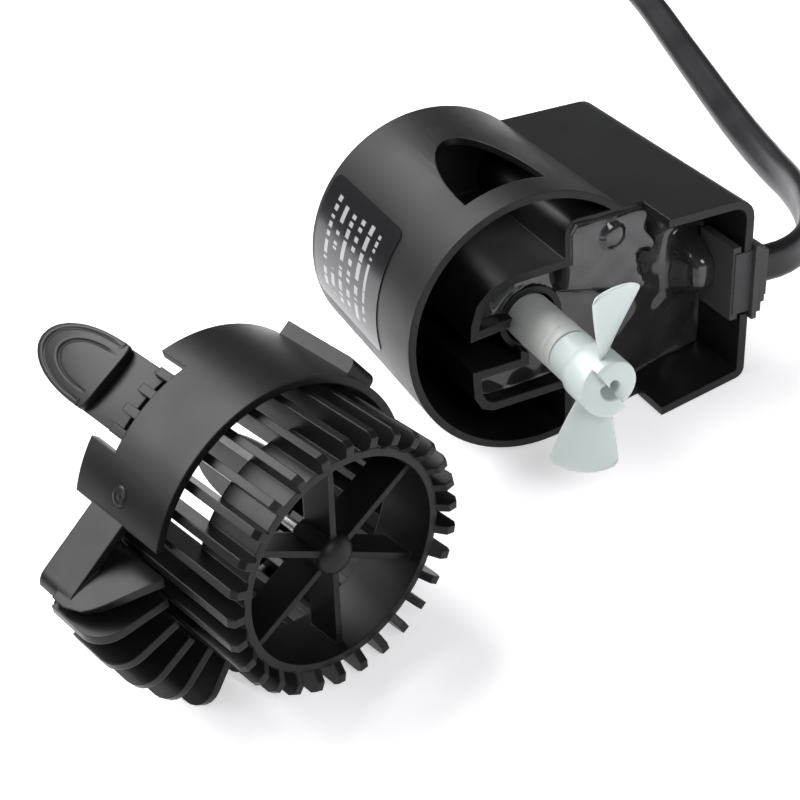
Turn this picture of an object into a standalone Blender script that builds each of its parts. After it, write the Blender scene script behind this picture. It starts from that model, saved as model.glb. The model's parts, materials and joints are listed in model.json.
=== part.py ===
"""Wave maker pump, taken apart in two assemblies on a table: the motor unit and its cover.

Both assemblies are drawn in a frame of their own: u runs from the pump's axis towards the terminal box, v runs
across it, and s runs forward along the axis. In Blender's axes a frame's X is u, its Z is v and its Y is -s.
The motor's s starts at the barrel's rear face, the cover's at the rear edge of its ring.
Lengths are in metres and angles in degrees.
"""

import math

import bmesh
import bpy
from mathutils import Matrix, Vector

MM = 0.001

# Overall sizes of the motor unit
BARREL_RADIUS = 25.0 * MM
BARREL_LENGTH = 45.5 * MM
BARREL_WALL = 1.4 * MM
BACK_WALL = 2.5 * MM
DECK = 12.0 * MM
DECK_WALL = 1.6 * MM
BOX_REACH = 38.6 * MM
BOX_TOP = 18.5 * MM
BOX_SLANT = 11.0
BOX_WALL = 1.6 * MM
BOX_CORNER = 4.0 * MM
BOX_STEP = 8.4 * MM
STEP_START = 21.0 * MM

# Stator pocket beside and around the rotor well
POCKET_NECK = 5.5 * MM
POCKET_REACH = 13.2 * MM
UPPER_LEG_TOP = 10.8 * MM
UPPER_LEG_FOOT = 0.6 * MM
LOWER_LEG_TOP = 6.3 * MM
LOWER_LEG_FOOT = 15.2 * MM
WELL_BORE = 5.0 * MM
WELL_WALL = 1.2 * MM
WELL_MOUTH = 43.0 * MM
WELL_FLOOR = 8.0 * MM

# Latches and their windows
LATCH_ANGLE = 95.5
WINDOW_HALF_ANGLE = 18.2
CATCH_DEPTH = 0.7 * MM
WINDOW_FRONT = 39.0 * MM
WINDOW_LENGTH = 22.6 * MM
LEAF_HALF_ANGLE = 15.0
LEAF_LENGTH = 18.6 * MM
BAND_DEPTH = BARREL_LENGTH - WINDOW_FRONT

# Rotor and propeller
SHAFT_RADIUS = 0.9 * MM
ROTOR_RADIUS = 4.45 * MM
ROTOR_BORE = 1.25 * MM
MAGNET_BACK = 14.0 * MM
MAGNET_FRONT = 57.2 * MM
COUPLING_LENGTH = 5.2 * MM
DOG_ANGLE = 90.0
STOP_ANGLE = 88.0
DOG_LENGTH = 2.4 * MM
HUB_RADIUS = 5.2 * MM
HUB_LENGTH = 6.6 * MM
RAMP_RISE = 1.3 * MM
PROPELLER_RADIUS = 17.4 * MM
BLADE_THICKNESS = 0.9 * MM
BLADE_ANGLE = 79.0

# Cover: ring, plates, louvre fins and cage
RING_LENGTH = 21.8 * MM
RING_WALL = 1.4 * MM
RING_END_ANGLE = 54.0
NOTCH_HALF_ANGLE = 19.9
NOTCH_DEPTH = 6.5 * MM
RAIL_WIDTH = 6.4 * MM
RAIL_HEIGHT = 2.4 * MM
RAIL_LENGTH = 17.6 * MM
PLATE_OFFSET = 20.4 * MM
PLATE_REACH = 30.2 * MM
PLATE_BACK = 4.6 * MM
PLATE_DEPTH = 8.4 * MM
FIN_THICKNESS = 1.5 * MM
FIN_REACH = 34.9 * MM
FIN_BULGE_RADIUS = 47.0 * MM
FIN_FLOOR = 8.8 * MM
BENT_FIN_ANGLE = 40.9
BENT_FIN_BEND = 22.6 * MM
BENT_FIN_REACH = 29.6 * MM
FOOT_ANGLE = 63.3
FOOT_OFFSET = 25.2 * MM
FOOT_LENGTH = 17.0 * MM
CAGE_RADIUS = 22.8 * MM
CAGE_BACK = 5.0 * MM
CAGE_LENGTH = 37.9 * MM
RIB_COUNT = 29
RIB_THICKNESS = 1.4 * MM
TUBE_RADIUS = CAGE_RADIUS - 3.5 * MM
TUBE_WALL = 1.4 * MM
TUBE_BACK = 25.0 * MM
TUBE_FRONT = 36.2 * MM
SPOKE_COUNT = 6
SPOKE_THICKNESS = 1.1 * MM
SPOKE_TURN = -8.3
SPOKE_BACK = 27.0 * MM
SPOKE_FRONT = 33.8 * MM
CAGE_HUB_RADIUS = 3.5 * MM

# Clearances
GAP = 0.3 * MM
RUNNING_GAP = 0.35 * MM

# Cord, its coil and its plug, in the layout's own place; the coil's centre stands at COIL_AT
CORD_RADIUS = 2.6 * MM
CORD_SPACING = 6.0 * MM
COIL_AT = (168.0 * MM, 127.0 * MM)
COIL_MEAN_RADIUS = 40.2 * MM
BUNDLE_WIDTH = 12.6 * MM
BUNDLE_HEIGHT = 15.0 * MM
TIE_THICKNESS = 1.0 * MM
COIL_ENTRY_ANGLE = 150.0
COIL_EXIT_ANGLE = 0.0
PLUG_LENGTH = 34.0 * MM
PLUG_WIDTH = 35.0 * MM
PLUG_THICKNESS = 13.6 * MM
PLUG_PITCH = 19.0 * MM
PIN_LENGTH = 19.0 * MM
PLUG_PIN_RADIUS = 2.0 * MM
PLUG_AT = (206.0 * MM, 76.0 * MM)
PLUG_HEADING = -100.0

# Where the two assemblies lie on the table
LAYOUT_AT = (25.56 * MM, 42.92 * MM, 0.0)
MOTOR_AT = (0.0, 0.0)
COVER_AT = (-62.9 * MM, -43.0 * MM, 27.27 * MM)
COVER_TURN = (173.95, 26.61, -165.71)

PITCH = 360.0 / RIB_COUNT


def clear_scene():
    for item in list(bpy.data.objects):
        bpy.data.objects.remove(item, do_unlink=True)


def material(name, colour, roughness, metallic=0.0):
    """A Principled BSDF of one colour; each name is made once."""
    found = bpy.data.materials.get(name)
    if found:
        return found
    made = bpy.data.materials.new(name)
    made.use_nodes = True
    shader = made.node_tree.nodes["Principled BSDF"]
    shader.inputs["Base Color"].default_value = (*colour, 1.0)
    shader.inputs["Roughness"].default_value = roughness
    shader.inputs["Metallic"].default_value = metallic
    return made


def assembly_frame(name, location, turn, parent=None):
    """An empty that carries one assembly."""
    empty = bpy.data.objects.new(name, None)
    empty.parent = parent
    empty.location = location
    empty.rotation_euler = [math.radians(angle) for angle in turn]
    bpy.context.scene.collection.objects.link(empty)
    return empty


# ---------------------------------------------------------------- solids as bmeshes in (u, v, s)


def tidy(bm):
    bmesh.ops.remove_doubles(bm, verts=bm.verts, dist=1e-7)
    bmesh.ops.dissolve_degenerate(bm, edges=bm.edges, dist=1e-7)
    bmesh.ops.delete(bm, geom=[edge for edge in bm.edges if not edge.link_faces], context="EDGES")
    bmesh.ops.recalc_face_normals(bm, faces=bm.faces)
    return bm


def prism(outline, back, front):
    """The outline's (u, v) points, extruded forward from s = back to s = front."""
    bm = bmesh.new()
    face = bm.faces.new([bm.verts.new((u, -back, v)) for u, v in outline])
    grown = bmesh.ops.extrude_face_region(bm, geom=[face])["geom"]
    moved = [item for item in grown if isinstance(item, bmesh.types.BMVert)]
    bmesh.ops.translate(bm, verts=moved, vec=(0.0, back - front, 0.0))
    return tidy(bm)


def brick(low, high):
    """A box between two (u, v, s) corners."""
    (u0, v0, s0), (u1, v1, s1) = low, high
    return prism([(u0, v0), (u1, v0), (u1, v1), (u0, v1)], s0, s1)


def turned(profile, steps):
    """A closed profile of (radius, s) points, turned once round the axis."""
    bm = bmesh.new()
    points = [bm.verts.new((radius, -s, 0.0)) for radius, s in profile]
    edges = [bm.edges.new((points[i - 1], points[i])) for i in range(len(points))]
    bmesh.ops.spin(bm, geom=points + edges, cent=(0, 0, 0), axis=(0, -1, 0), angle=math.tau, steps=steps,
                   use_merge=True)
    return tidy(bm)


def sector(profile, start, end, steps, rise=0.0):
    """A closed (radius, s) profile, turned from one angle to another while it climbs forward by rise."""
    bm = bmesh.new()
    face = bm.faces.new([bm.verts.new((radius, -s, 0.0)) for radius, s in profile])
    turn_about_axis(bm, start)
    bmesh.ops.spin(bm, geom=[face, *face.edges, *face.verts], cent=(0, 0, 0), axis=(0, -1, 0),
                   angle=math.radians(end - start), steps=steps, dvec=(0, -rise / steps, 0))
    return tidy(bm)


def radial_plate(profile, thickness, angle):
    """A flat plate along a radius: its (radius, s) profile, thickness across, turned to an angle."""
    bm = bmesh.new()
    face = bm.faces.new([bm.verts.new((radius, -s, -thickness / 2)) for radius, s in profile])
    grown = bmesh.ops.extrude_face_region(bm, geom=[face])["geom"]
    moved = [item for item in grown if isinstance(item, bmesh.types.BMVert)]
    bmesh.ops.translate(bm, verts=moved, vec=(0, 0, thickness))
    turn_about_axis(bm, angle)
    return tidy(bm)


def wrapped_plate(stations, centre, across=8):
    """A plate wrapped round the axis. Each station is (s, half angle, inner radius, outer radius)."""
    bm = bmesh.new()
    sheets = []
    for side in (2, 3):
        rows = []
        for station in stations:
            row = []
            for i in range(across + 1):
                angle = math.radians(centre + station[1] * (2 * i / across - 1))
                radius = station[side]
                row.append(bm.verts.new((radius * math.cos(angle), -station[0], radius * math.sin(angle))))
            rows.append(row)
        sheets.append(rows)
    close_sheets(bm, *sheets)
    return tidy(bm)


def close_sheets(bm, lower, upper):
    """Faces both grids of vertices and the border that joins them."""
    count, across = len(lower), len(lower[0])
    for rows in (lower, upper):
        for i in range(count - 1):
            for j in range(across - 1):
                bm.faces.new((rows[i][j], rows[i][j + 1], rows[i + 1][j + 1], rows[i + 1][j]))
    for i in (0, count - 1):
        for j in range(across - 1):
            bm.faces.new((lower[i][j], upper[i][j], upper[i][j + 1], lower[i][j + 1]))
    for j in (0, across - 1):
        for i in range(count - 1):
            bm.faces.new((lower[i][j], lower[i + 1][j], upper[i + 1][j], upper[i][j]))


def gather(parts):
    """One bmesh that holds the shells of several."""
    whole = bmesh.new()
    for part in parts:
        passing = bpy.data.meshes.new("passing")
        part.to_mesh(passing)
        part.free()
        whole.from_mesh(passing)
        bpy.data.meshes.remove(passing)
    return whole


def turn_about_axis(bm, angle):
    bmesh.ops.rotate(bm, verts=bm.verts, cent=(0, 0, 0), matrix=Matrix.Rotation(-math.radians(angle), 3, "Y"))
    return bm


def inset(outline, distance):
    """The outline moved inward by a distance; its points run anticlockwise. Sides that vanish are left out."""
    corners = [Vector(point) for point in outline]
    sides = [(here, corners[(i + 1) % len(corners)] - here) for i, here in enumerate(corners)]
    while True:
        moved = []
        for i, (start, along) in enumerate(sides):
            before_start, before = sides[i - 1]
            n0 = Vector((-before.y, before.x)).normalized() * distance
            n1 = Vector((-along.y, along.x)).normalized() * distance
            reach = before.cross(along)
            share = ((start + n1) - (before_start + n0)).cross(along) / reach
            moved.append(before_start + n0 + before * share)
        flipped = [
            i for i, (_, along) in enumerate(sides) if (moved[(i + 1) % len(moved)] - moved[i]).dot(along) <= 0
        ]
        if not flipped:
            return [tuple(point) for point in moved]
        del sides[flipped[0]]


def arc(centre, radius, start, end, steps):
    """Points on an arc from one angle to another."""
    angles = [math.radians(start + (end - start) * i / steps) for i in range(steps + 1)]
    return [(centre[0] + radius * math.cos(a), centre[1] + radius * math.sin(a)) for a in angles]


# ---------------------------------------------------------------- objects


def piece(name, bm, parent, finish, origin=(0.0, 0.0, 0.0)):
    """A named object whose origin is at a point of its parent's frame."""
    bmesh.ops.translate(bm, verts=bm.verts, vec=-Vector(origin))
    mesh = bpy.data.meshes.new(name)
    bm.to_mesh(mesh)
    bm.free()
    mesh.shade_smooth()
    mesh.set_sharp_from_angle(angle=math.radians(32))
    made = bpy.data.objects.new(name, mesh)
    made.parent = parent
    made.location = origin
    mesh.materials.append(finish)
    bpy.context.scene.collection.objects.link(made)
    return made


def combine(target, bm, operation):
    """Runs one Boolean between an object's mesh and a solid in its parent's frame, and keeps the result."""
    helper = piece("helper", bm, target.parent, target.data.materials[0])
    step = target.modifiers.new("step", "BOOLEAN")
    step.operation = operation
    step.object = helper
    step.solver = "EXACT"
    bpy.context.view_layer.update()
    result = bmesh.new()
    result.from_object(target, bpy.context.evaluated_depsgraph_get())
    bmesh.ops.remove_doubles(result, verts=result.verts, dist=2e-6)
    bmesh.ops.dissolve_degenerate(result, edges=result.edges, dist=2e-6)
    target.modifiers.clear()
    result.to_mesh(target.data)
    result.free()
    target.data.set_sharp_from_angle(angle=math.radians(32))
    bpy.data.objects.remove(helper, do_unlink=True)


def cut(target, bm):
    combine(target, bm, "DIFFERENCE")


def join(target, bm):
    combine(target, bm, "UNION")


def hollow_of(outer, keep, frame):
    """The solid that is left of one when another is taken from it."""
    shape = piece("shape", outer, frame, material("helper", (0.5, 0.5, 0.5), 0.5))
    cut(shape, keep)
    result = bmesh.new()
    result.from_mesh(shape.data)
    bpy.data.objects.remove(shape, do_unlink=True)
    return result


# ---------------------------------------------------------------- outlines of the motor unit


def box_bottom(u):
    """The box's underside, which lies in the plane that touches the barrel's lowest line."""
    slant = math.radians(BOX_SLANT)
    return u * math.tan(slant) - (BARREL_RADIUS - 0.15 * MM) / math.cos(slant)


def box_end():
    """The box's outer end, from its lower corner up to its upper one."""
    low = BOX_REACH - BOX_CORNER / 2
    lower = arc((low, box_bottom(low) + BOX_CORNER / 2), BOX_CORNER / 2, -80, 0, 4)
    upper = arc((BOX_REACH - BOX_CORNER, BOX_TOP - BOX_CORNER), BOX_CORNER, 0, 90, 5)
    return lower + upper


def box_outline(start):
    return [(start, box_bottom(start))] + box_end() + [(start, BOX_TOP)]


def pocket_outline():
    """The outer face of the pocket's wall: the box, then a leg above and a leg below the rotor well."""
    turn = 2.6 * MM
    tip = -POCKET_REACH
    neck = arc((POCKET_NECK + turn, BOX_TOP - turn), turn, 90, 180, 4)
    upper = [
        (POCKET_NECK, UPPER_LEG_TOP + 0.5 * MM),
        (tip + 8.5 * MM, UPPER_LEG_TOP),
        (tip + 4.4 * MM, UPPER_LEG_TOP - 1.2 * MM),
        (tip + 1.5 * MM, UPPER_LEG_TOP - 3.9 * MM),
        (tip + 0.2 * MM, UPPER_LEG_FOOT + 2.4 * MM),
        (tip, UPPER_LEG_FOOT - 0.6 * MM),
        (-3.4 * MM, UPPER_LEG_FOOT + 0.6 * MM),
    ]
    lower = [
        (-3.4 * MM, -LOWER_LEG_TOP + 0.1 * MM),
        (tip + 0.2 * MM, -LOWER_LEG_TOP),
        (tip + 0.4 * MM, -LOWER_LEG_FOOT + 3.6 * MM),
        (tip + 1.8 * MM, -LOWER_LEG_FOOT + 1.0 * MM),
        (tip + 4.0 * MM, -LOWER_LEG_FOOT),
        (POCKET_NECK, -LOWER_LEG_FOOT + 0.3 * MM),
        (POCKET_NECK, box_bottom(POCKET_NECK)),
    ]
    return box_end() + neck + upper + lower


def window_outline(half_width, length, steps):
    """A half ellipse in (across, s) whose straight side is at s = 0 and whose round end is at the back."""
    return [
        (half_width * math.cos(math.pi * i / steps), -length * math.sin(math.pi * i / steps))
        for i in range(steps + 1)
    ]


def window_cutter(angle, inner):
    """Arch-shaped cutter that goes into the barrel from outside, down to a plane at the inner distance."""
    half_width = BARREL_RADIUS * math.sin(math.radians(WINDOW_HALF_ANGLE))
    outline = window_outline(half_width, WINDOW_LENGTH, 18)
    bm = bmesh.new()
    face = bm.faces.new([bm.verts.new((inner, -(WINDOW_FRONT + s), across)) for across, s in outline])
    grown = bmesh.ops.extrude_face_region(bm, geom=[face])["geom"]
    moved = [item for item in grown if isinstance(item, bmesh.types.BMVert)]
    bmesh.ops.translate(bm, verts=moved, vec=(BARREL_RADIUS + 2 * MM - inner, 0, 0))
    turn_about_axis(bm, angle)
    return tidy(bm)


# ---------------------------------------------------------------- motor unit


def motor_housing(frame, plastic):
    """Barrel and terminal box in one moulding, with the stator pocket and the rotor well inside."""
    edge = 1.0 * MM
    barrel = turned([(0, 0), (BARREL_RADIUS - edge, 0), (BARREL_RADIUS, edge), (BARREL_RADIUS, BARREL_LENGTH),
                     (0, BARREL_LENGTH)], 96)
    housing = piece("motor_housing", barrel, frame, plastic)
    join(housing, prism(box_outline(2 * MM), 0.02 * MM, BARREL_LENGTH - 0.02 * MM))
    join(housing, prism(box_outline(STEP_START), BARREL_LENGTH - 3 * MM, BARREL_LENGTH + BOX_STEP))

    over = BARREL_LENGTH + BOX_STEP + 2 * MM
    inner = BARREL_RADIUS - BARREL_WALL
    for back, end in ((DECK, over), (-2 * MM, DECK - DECK_WALL)):
        disc = turned([(0, back), (inner, back), (inner, end), (0, end)], 96)
        cut(housing, hollow_of(disc, prism(pocket_outline(), back - MM, end + MM), frame))
    cut(housing, prism(inset(pocket_outline(), BOX_WALL), BACK_WALL, over))
    room = WELL_BORE + WELL_WALL / 2
    cut(housing, turned([(0, WELL_FLOOR - MM), (room, WELL_FLOOR - MM), (room, over), (0, over)], 40))
    well = WELL_BORE + WELL_WALL
    join(housing, turned([(0, 1.5 * MM), (well, 1.5 * MM), (well, WELL_MOUTH), (WELL_BORE, WELL_MOUTH),
                          (WELL_BORE, WELL_FLOOR), (0, WELL_FLOOR)], 40))
    cut(housing, window_cutter(LATCH_ANGLE, BARREL_RADIUS - BARREL_WALL - 2.2 * MM))
    cut(housing, window_cutter(-LATCH_ANGLE, BARREL_RADIUS - CATCH_DEPTH))
    cut(housing, brick(*gland_slot(0.0)))
    return housing


GLAND_CENTRE = 1.6 * MM
GLAND_HALF = 6.4 * MM
GLAND_DEPTH = 10.0 * MM
GLAND_RIM = 1.2 * MM


def gland_slot(clear):
    """Low and high corners of the slot in the box's outer wall, open to the front; clear shrinks it."""
    front = BARREL_LENGTH + BOX_STEP
    return (
        (BOX_REACH - BOX_WALL - 0.8 * MM, GLAND_CENTRE - GLAND_HALF + clear, front - GLAND_DEPTH + clear),
        (BOX_REACH + 0.8 * MM, GLAND_CENTRE + GLAND_HALF - clear, front + 1 * MM),
    )


def gland_flange(clear):
    """Low and high corners of the flange inside the wall; clear grows it."""
    (_, v0, s0), (_, v1, _) = gland_slot(GAP)
    inner_face = BOX_REACH - BOX_WALL - GAP
    rim = GLAND_RIM + clear
    front = BARREL_LENGTH + BOX_STEP - 0.6 * MM
    return (inner_face - 1.6 * MM - clear, v0 - rim, s0 - rim), (inner_face + clear, v1 + rim, front + clear)


def cord_gland(frame, rubber):
    """Grommet with a flange inside the wall and a ribbed, tapered nose outside it."""
    front = BARREL_LENGTH + BOX_STEP
    (_, v0, s0), (_, v1, _) = gland_slot(GAP)
    inner_face = BOX_REACH - BOX_WALL - GAP
    outer_face = BOX_REACH + GAP
    neck = brick((inner_face - 1.2 * MM, v0, s0), (outer_face + 0.6 * MM, v1, front - GAP))
    gland = piece("cord_gland", neck, frame, rubber)
    join(gland, brick(*gland_flange(0.0)))
    middle = (s0 + front) / 2
    for index, (half, depth) in enumerate([(7.4, 5.6), (6.6, 4.9), (5.4, 4.0)]):
        rib_start = outer_face + 1.35 * MM * index
        plate = brick((rib_start, GLAND_CENTRE - half * MM, middle - depth * MM),
                      (rib_start + 1.0 * MM, GLAND_CENTRE + half * MM, middle + depth * MM))
        join(gland, plate)
    core = brick((outer_face + 0.3 * MM, GLAND_CENTRE - 4.6 * MM, middle - 3.2 * MM),
                 (outer_face + GLAND_NOSE, GLAND_CENTRE + 4.6 * MM, middle + 3.2 * MM))
    join(gland, core)
    return gland


GLAND_NOSE = 4.6 * MM

# Stator parts inside the pocket
CORE_BACK = 14.0 * MM
CORE_LENGTH = 18.0 * MM
YOKE_START = 26.5 * MM
YOKE_WIDTH = 5.0 * MM
COIL_THICKNESS = 2.8 * MM
COIL_HALF_HEIGHT = 6.5 * MM
BOBBIN_WALL = 0.9 * MM
RESIN_TOP = 43.6 * MM


def core_outline():
    """A U lying on its side: two legs that reach past the well, joined by the yoke inside the coil."""
    wall = BOX_WALL + 1.2 * MM
    clear = WELL_BORE + WELL_WALL + 0.5 * MM
    top, top_foot = UPPER_LEG_TOP - wall, UPPER_LEG_FOOT + wall + 0.4 * MM
    low, low_foot = -LOWER_LEG_TOP - wall, -LOWER_LEG_FOOT + wall
    tip = -POCKET_REACH + wall + 3.0 * MM
    end = YOKE_START + YOKE_WIDTH
    start = math.degrees(math.asin(top_foot / clear))
    upper_pole = arc((0, 0), clear, 180 - start, 60, 6)
    lower_pole = arc((0, 0), clear, -60, -88, 2)
    return (
        [(end, low_foot), (end, top), (tip + 4.2 * MM, top), (tip, top - 2.4 * MM), (tip, top_foot)]
        + upper_pole
        + [(YOKE_START, upper_pole[-1][1]), (YOKE_START, lower_pole[0][1] - 2.4 * MM)]
        + [(3.4 * MM, lower_pole[0][1] - 2.4 * MM), (0, low), (tip, low), (tip, low_foot)]
    )


def stator(frame, finishes):
    """Laminated core, the bobbin on its yoke and the winding on the bobbin."""
    front = CORE_BACK + CORE_LENGTH
    piece("stator_core", prism(core_outline(), CORE_BACK, front), frame, finishes["iron"])
    core_low = core_outline()[-2][1]
    middle = (UPPER_LEG_TOP - LOWER_LEG_FOOT) / 2
    inner = (YOKE_START - GAP, CORE_BACK - GAP, YOKE_START + YOKE_WIDTH + GAP, front + GAP)
    growth = (-BOBBIN_WALL, -BOBBIN_WALL, BOBBIN_WALL, BOBBIN_WALL)
    tube = tuple(edge + grow for edge, grow in zip(inner, growth))
    wound = tuple(edge + grow for edge, grow in zip(tube, [-COIL_THICKNESS - GAP, -COIL_THICKNESS - GAP,
                                                          COIL_THICKNESS + GAP, COIL_THICKNESS + GAP]))
    half = min(COIL_HALF_HEIGHT, middle - core_low)
    low, high = middle - half + 2.6 * MM, middle + half - 0.6 * MM

    former = brick((tube[0], low, tube[1]), (tube[2], high, tube[3]))
    bobbin = piece("coil_bobbin", former, frame, finishes["nylon"])
    rim = 0.9 * MM
    for bottom in (low - rim + 0.01 * MM, high - 0.01 * MM):
        join(bobbin, brick((wound[0], bottom, wound[1]), (wound[2], bottom + rim, wound[3])))
    cut(bobbin, brick((inner[0], low - 2 * MM, inner[1]), (inner[2], high + 2 * MM, inner[3])))
    low, high = low + GAP, high - GAP
    winding = piece("coil_winding", brick((wound[0], low, wound[1]), (wound[2], high, wound[3])), frame,
                    finishes["copper"])
    hole = tuple(edge + grow for edge, grow in zip(tube, [-GAP, -GAP, GAP, GAP]))
    cut(winding, brick((hole[0], low - MM, hole[1]), (hole[2], high + MM, hole[3])))


def potting_resin(frame, resin):
    """Resin poured round the stator; it is open at the back, where the core and the coil stand in it."""
    outline = inset(pocket_outline(), BOX_WALL + GAP)
    floor = BACK_WALL + GAP
    poured = piece("potting_resin", prism(outline, floor, RESIN_TOP), frame, resin)
    well = WELL_BORE + WELL_WALL + GAP
    cut(poured, turned([(0, 0), (well, 0), (well, RESIN_TOP + 9 * MM), (0, RESIN_TOP + 9 * MM)], 40))
    room = inset(pocket_outline(), BOX_WALL + GAP + 0.5 * MM)
    cut(poured, prism(room, floor - MM, CORE_BACK + CORE_LENGTH + 5.2 * MM))
    mouth = BARREL_LENGTH
    wire_end = BOX_REACH - 8.2 * MM
    cut(poured, brick(*gland_flange(GAP)))
    low_v, high_v = GLAND_CENTRE - 4.6 * MM, GLAND_CENTRE + 4.6 * MM
    cut(poured, brick((wire_end, low_v, CORE_BACK), (BOX_REACH, high_v, mouth)))
    return poured


def tube_along(name, points, radius, finish, parent=None, resolution=2):
    """A round tube with filled ends along a polyline."""
    curve = bpy.data.curves.new(name, "CURVE")
    curve.dimensions = "3D"
    curve.bevel_depth = radius
    curve.bevel_resolution = resolution
    curve.use_fill_caps = True
    spline = curve.splines.new("POLY")
    spline.points.add(len(points) - 1)
    for target, source in zip(spline.points, points):
        target.co = (*source, 1.0)
    curve.materials.append(finish)
    made = bpy.data.objects.new(name, curve)
    made.parent = parent
    bpy.context.scene.collection.objects.link(made)
    return made


def smooth_points(route, spacing):
    """Points at an even spacing on a Catmull-Rom curve through the route's points."""
    knots = [Vector(point) for point in route]
    knots = [2 * knots[0] - knots[1]] + knots + [2 * knots[-1] - knots[-2]]
    fine = []
    for i in range(1, len(knots) - 2):
        a, b, c, d = knots[i - 1 : i + 3]
        for step in range(20):
            t = step / 20
            fine.append(0.5 * (2 * b + (c - a) * t + (2 * a - 5 * b + 4 * c - d) * t * t
                               + (3 * b - a - 3 * c + d) * t**3))
    fine.append(knots[-2])
    lengths = [0.0]
    for before, after in zip(fine, fine[1:]):
        lengths.append(lengths[-1] + (after - before).length)
    count = max(2, round(lengths[-1] / spacing))
    result, index = [], 0
    for step in range(count + 1):
        target = lengths[-1] * step / count
        while index < len(lengths) - 2 and lengths[index + 1] < target:
            index += 1
        share = (target - lengths[index]) / (lengths[index + 1] - lengths[index])
        result.append(fine[index].lerp(fine[index + 1], min(1.0, share)))
    return result


def lead_wires(frame, finishes):
    """Two insulated leads from the winding's front to the gland's inner flange."""
    radius = 0.8 * MM
    start_s = CORE_BACK + CORE_LENGTH + 6.6 * MM
    end_u = BOX_REACH - BOX_WALL - GAP - 1.6 * MM - GAP
    end_s = BARREL_LENGTH + BOX_STEP - GLAND_DEPTH + 1.8 * MM
    leads = (("lead_wire_live", 2.4 * MM, "brown"), ("lead_wire_neutral", -2.4 * MM, "blue"))
    for name, offset, finish in leads:
        v = GLAND_CENTRE + offset
        route = [
            (end_u - 2.6 * MM, -start_s, v * 0.4),
            (end_u - 3.4 * MM, -(start_s + 3.0 * MM), v * 0.6),
            (end_u - 3.2 * MM, -(end_s - 3.4 * MM), v),
            (end_u - 1.6 * MM, -(end_s - 0.6 * MM), v),
            (end_u, -end_s, v),
        ]
        tube_along(name, smooth_points(route, 1.4 * MM), radius, finishes[finish], frame)


def label_sticker(frame, film):
    """Thin label on the barrel's far side from the box."""
    lift = BARREL_RADIUS + GAP
    stations = [(s * MM, 21.0, lift, lift + 0.2 * MM) for s in (6.0, 20.0, 33.0)]
    return piece("label_sticker", wrapped_plate(stations, 160.0, 14), frame, film)


# ---------------------------------------------------------------- rotor group


def rotor_group(frame, finishes):
    bush_length = 4.0 * MM
    near, far = SHAFT_RADIUS + GAP, WELL_BORE - GAP
    low, high = WELL_FLOOR + GAP, WELL_FLOOR + bush_length
    bush = turned([(near, low), (far, low), (far, high), (near, high)], 32)
    piece("rear_bush", bush, frame, finishes["rubber"])
    shaft = turned([(0, WELL_FLOOR + 2 * GAP), (SHAFT_RADIUS, WELL_FLOOR + 2 * GAP),
                    (SHAFT_RADIUS, hub_back() + 3.2 * MM), (0, hub_back() + 3.2 * MM)], 20)
    piece("rotor_shaft", shaft, frame, finishes["ceramic"])
    washer_back = WELL_FLOOR + bush_length + GAP
    washer = turned([(SHAFT_RADIUS + GAP, washer_back), (3.2 * MM, washer_back),
                     (3.2 * MM, washer_back + 0.9 * MM),
                     (SHAFT_RADIUS + GAP, washer_back + 0.9 * MM)], 28)
    piece("thrust_washer", washer, frame, finishes["nylon"])
    edge = 0.5 * MM
    magnet = turned([(ROTOR_BORE, MAGNET_BACK), (ROTOR_RADIUS - edge, MAGNET_BACK),
                     (ROTOR_RADIUS, MAGNET_BACK + edge),
                     (ROTOR_RADIUS, MAGNET_FRONT), (ROTOR_BORE, MAGNET_FRONT)], 48)
    piece("rotor_magnet", magnet, frame, finishes["magnet"])
    back = MAGNET_FRONT + GAP
    front = back + COUPLING_LENGTH
    collar = turned([(ROTOR_BORE, back), (ROTOR_RADIUS - 0.1 * MM, back), (ROTOR_RADIUS, back + edge),
                     (ROTOR_RADIUS, front), (ROTOR_BORE, front)], 48)
    coupling = piece("rotor_coupling", collar, frame, finishes["clear_blue"])
    dog = [(1.9 * MM, front - 0.4 * MM), (HUB_POCKET - RUNNING_GAP, front - 0.4 * MM),
           (HUB_POCKET - RUNNING_GAP, front + DOG_LENGTH), (1.9 * MM, front + DOG_LENGTH)]
    join(coupling, sector(dog, STOP_ANGLE / 2 + 1, STOP_ANGLE / 2 + 1 + DOG_ANGLE, 8))


HUB_POCKET = 4.0 * MM


def hub_back():
    return MAGNET_FRONT + GAP + COUPLING_LENGTH + GAP


def propeller_blade(angle):
    """One twisted blade: across it s climbs with the angle, and the climb is steepest at the root."""
    bm = bmesh.new()
    radii = 8
    chord = 10
    root = HUB_RADIUS - 0.9 * MM
    middle_s = hub_back() + 3.5 * MM
    sheets = []
    for side in (-0.5, 0.5):
        rows = []
        for i in range(radii + 1):
            share = i / radii
            radius = root + (PROPELLER_RADIUS - root) * share
            half = 24.0 - 3.5 * share
            climb = (2.2 - 0.2 * share) * MM
            row = []
            for j in range(chord + 1):
                across = 2 * j / chord - 1
                round_tip = radius * (1.0 - 0.035 * share**4 * across**4)
                turn = math.radians(angle + half * across)
                slope = math.atan2(2 * climb, radius * 2 * math.radians(half))
                thick = BLADE_THICKNESS * (1.25 - 0.5 * share) * (1.0 - 0.45 * across**2) * side
                turn -= math.sin(slope) * thick / radius
                s = middle_s + climb * across + math.cos(slope) * thick + 0.6 * MM * share**2
                row.append(bm.verts.new((round_tip * math.cos(turn), -s, round_tip * math.sin(turn))))
            rows.append(row)
        sheets.append(rows)
    close_sheets(bm, *sheets)
    return tidy(bm)


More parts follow.
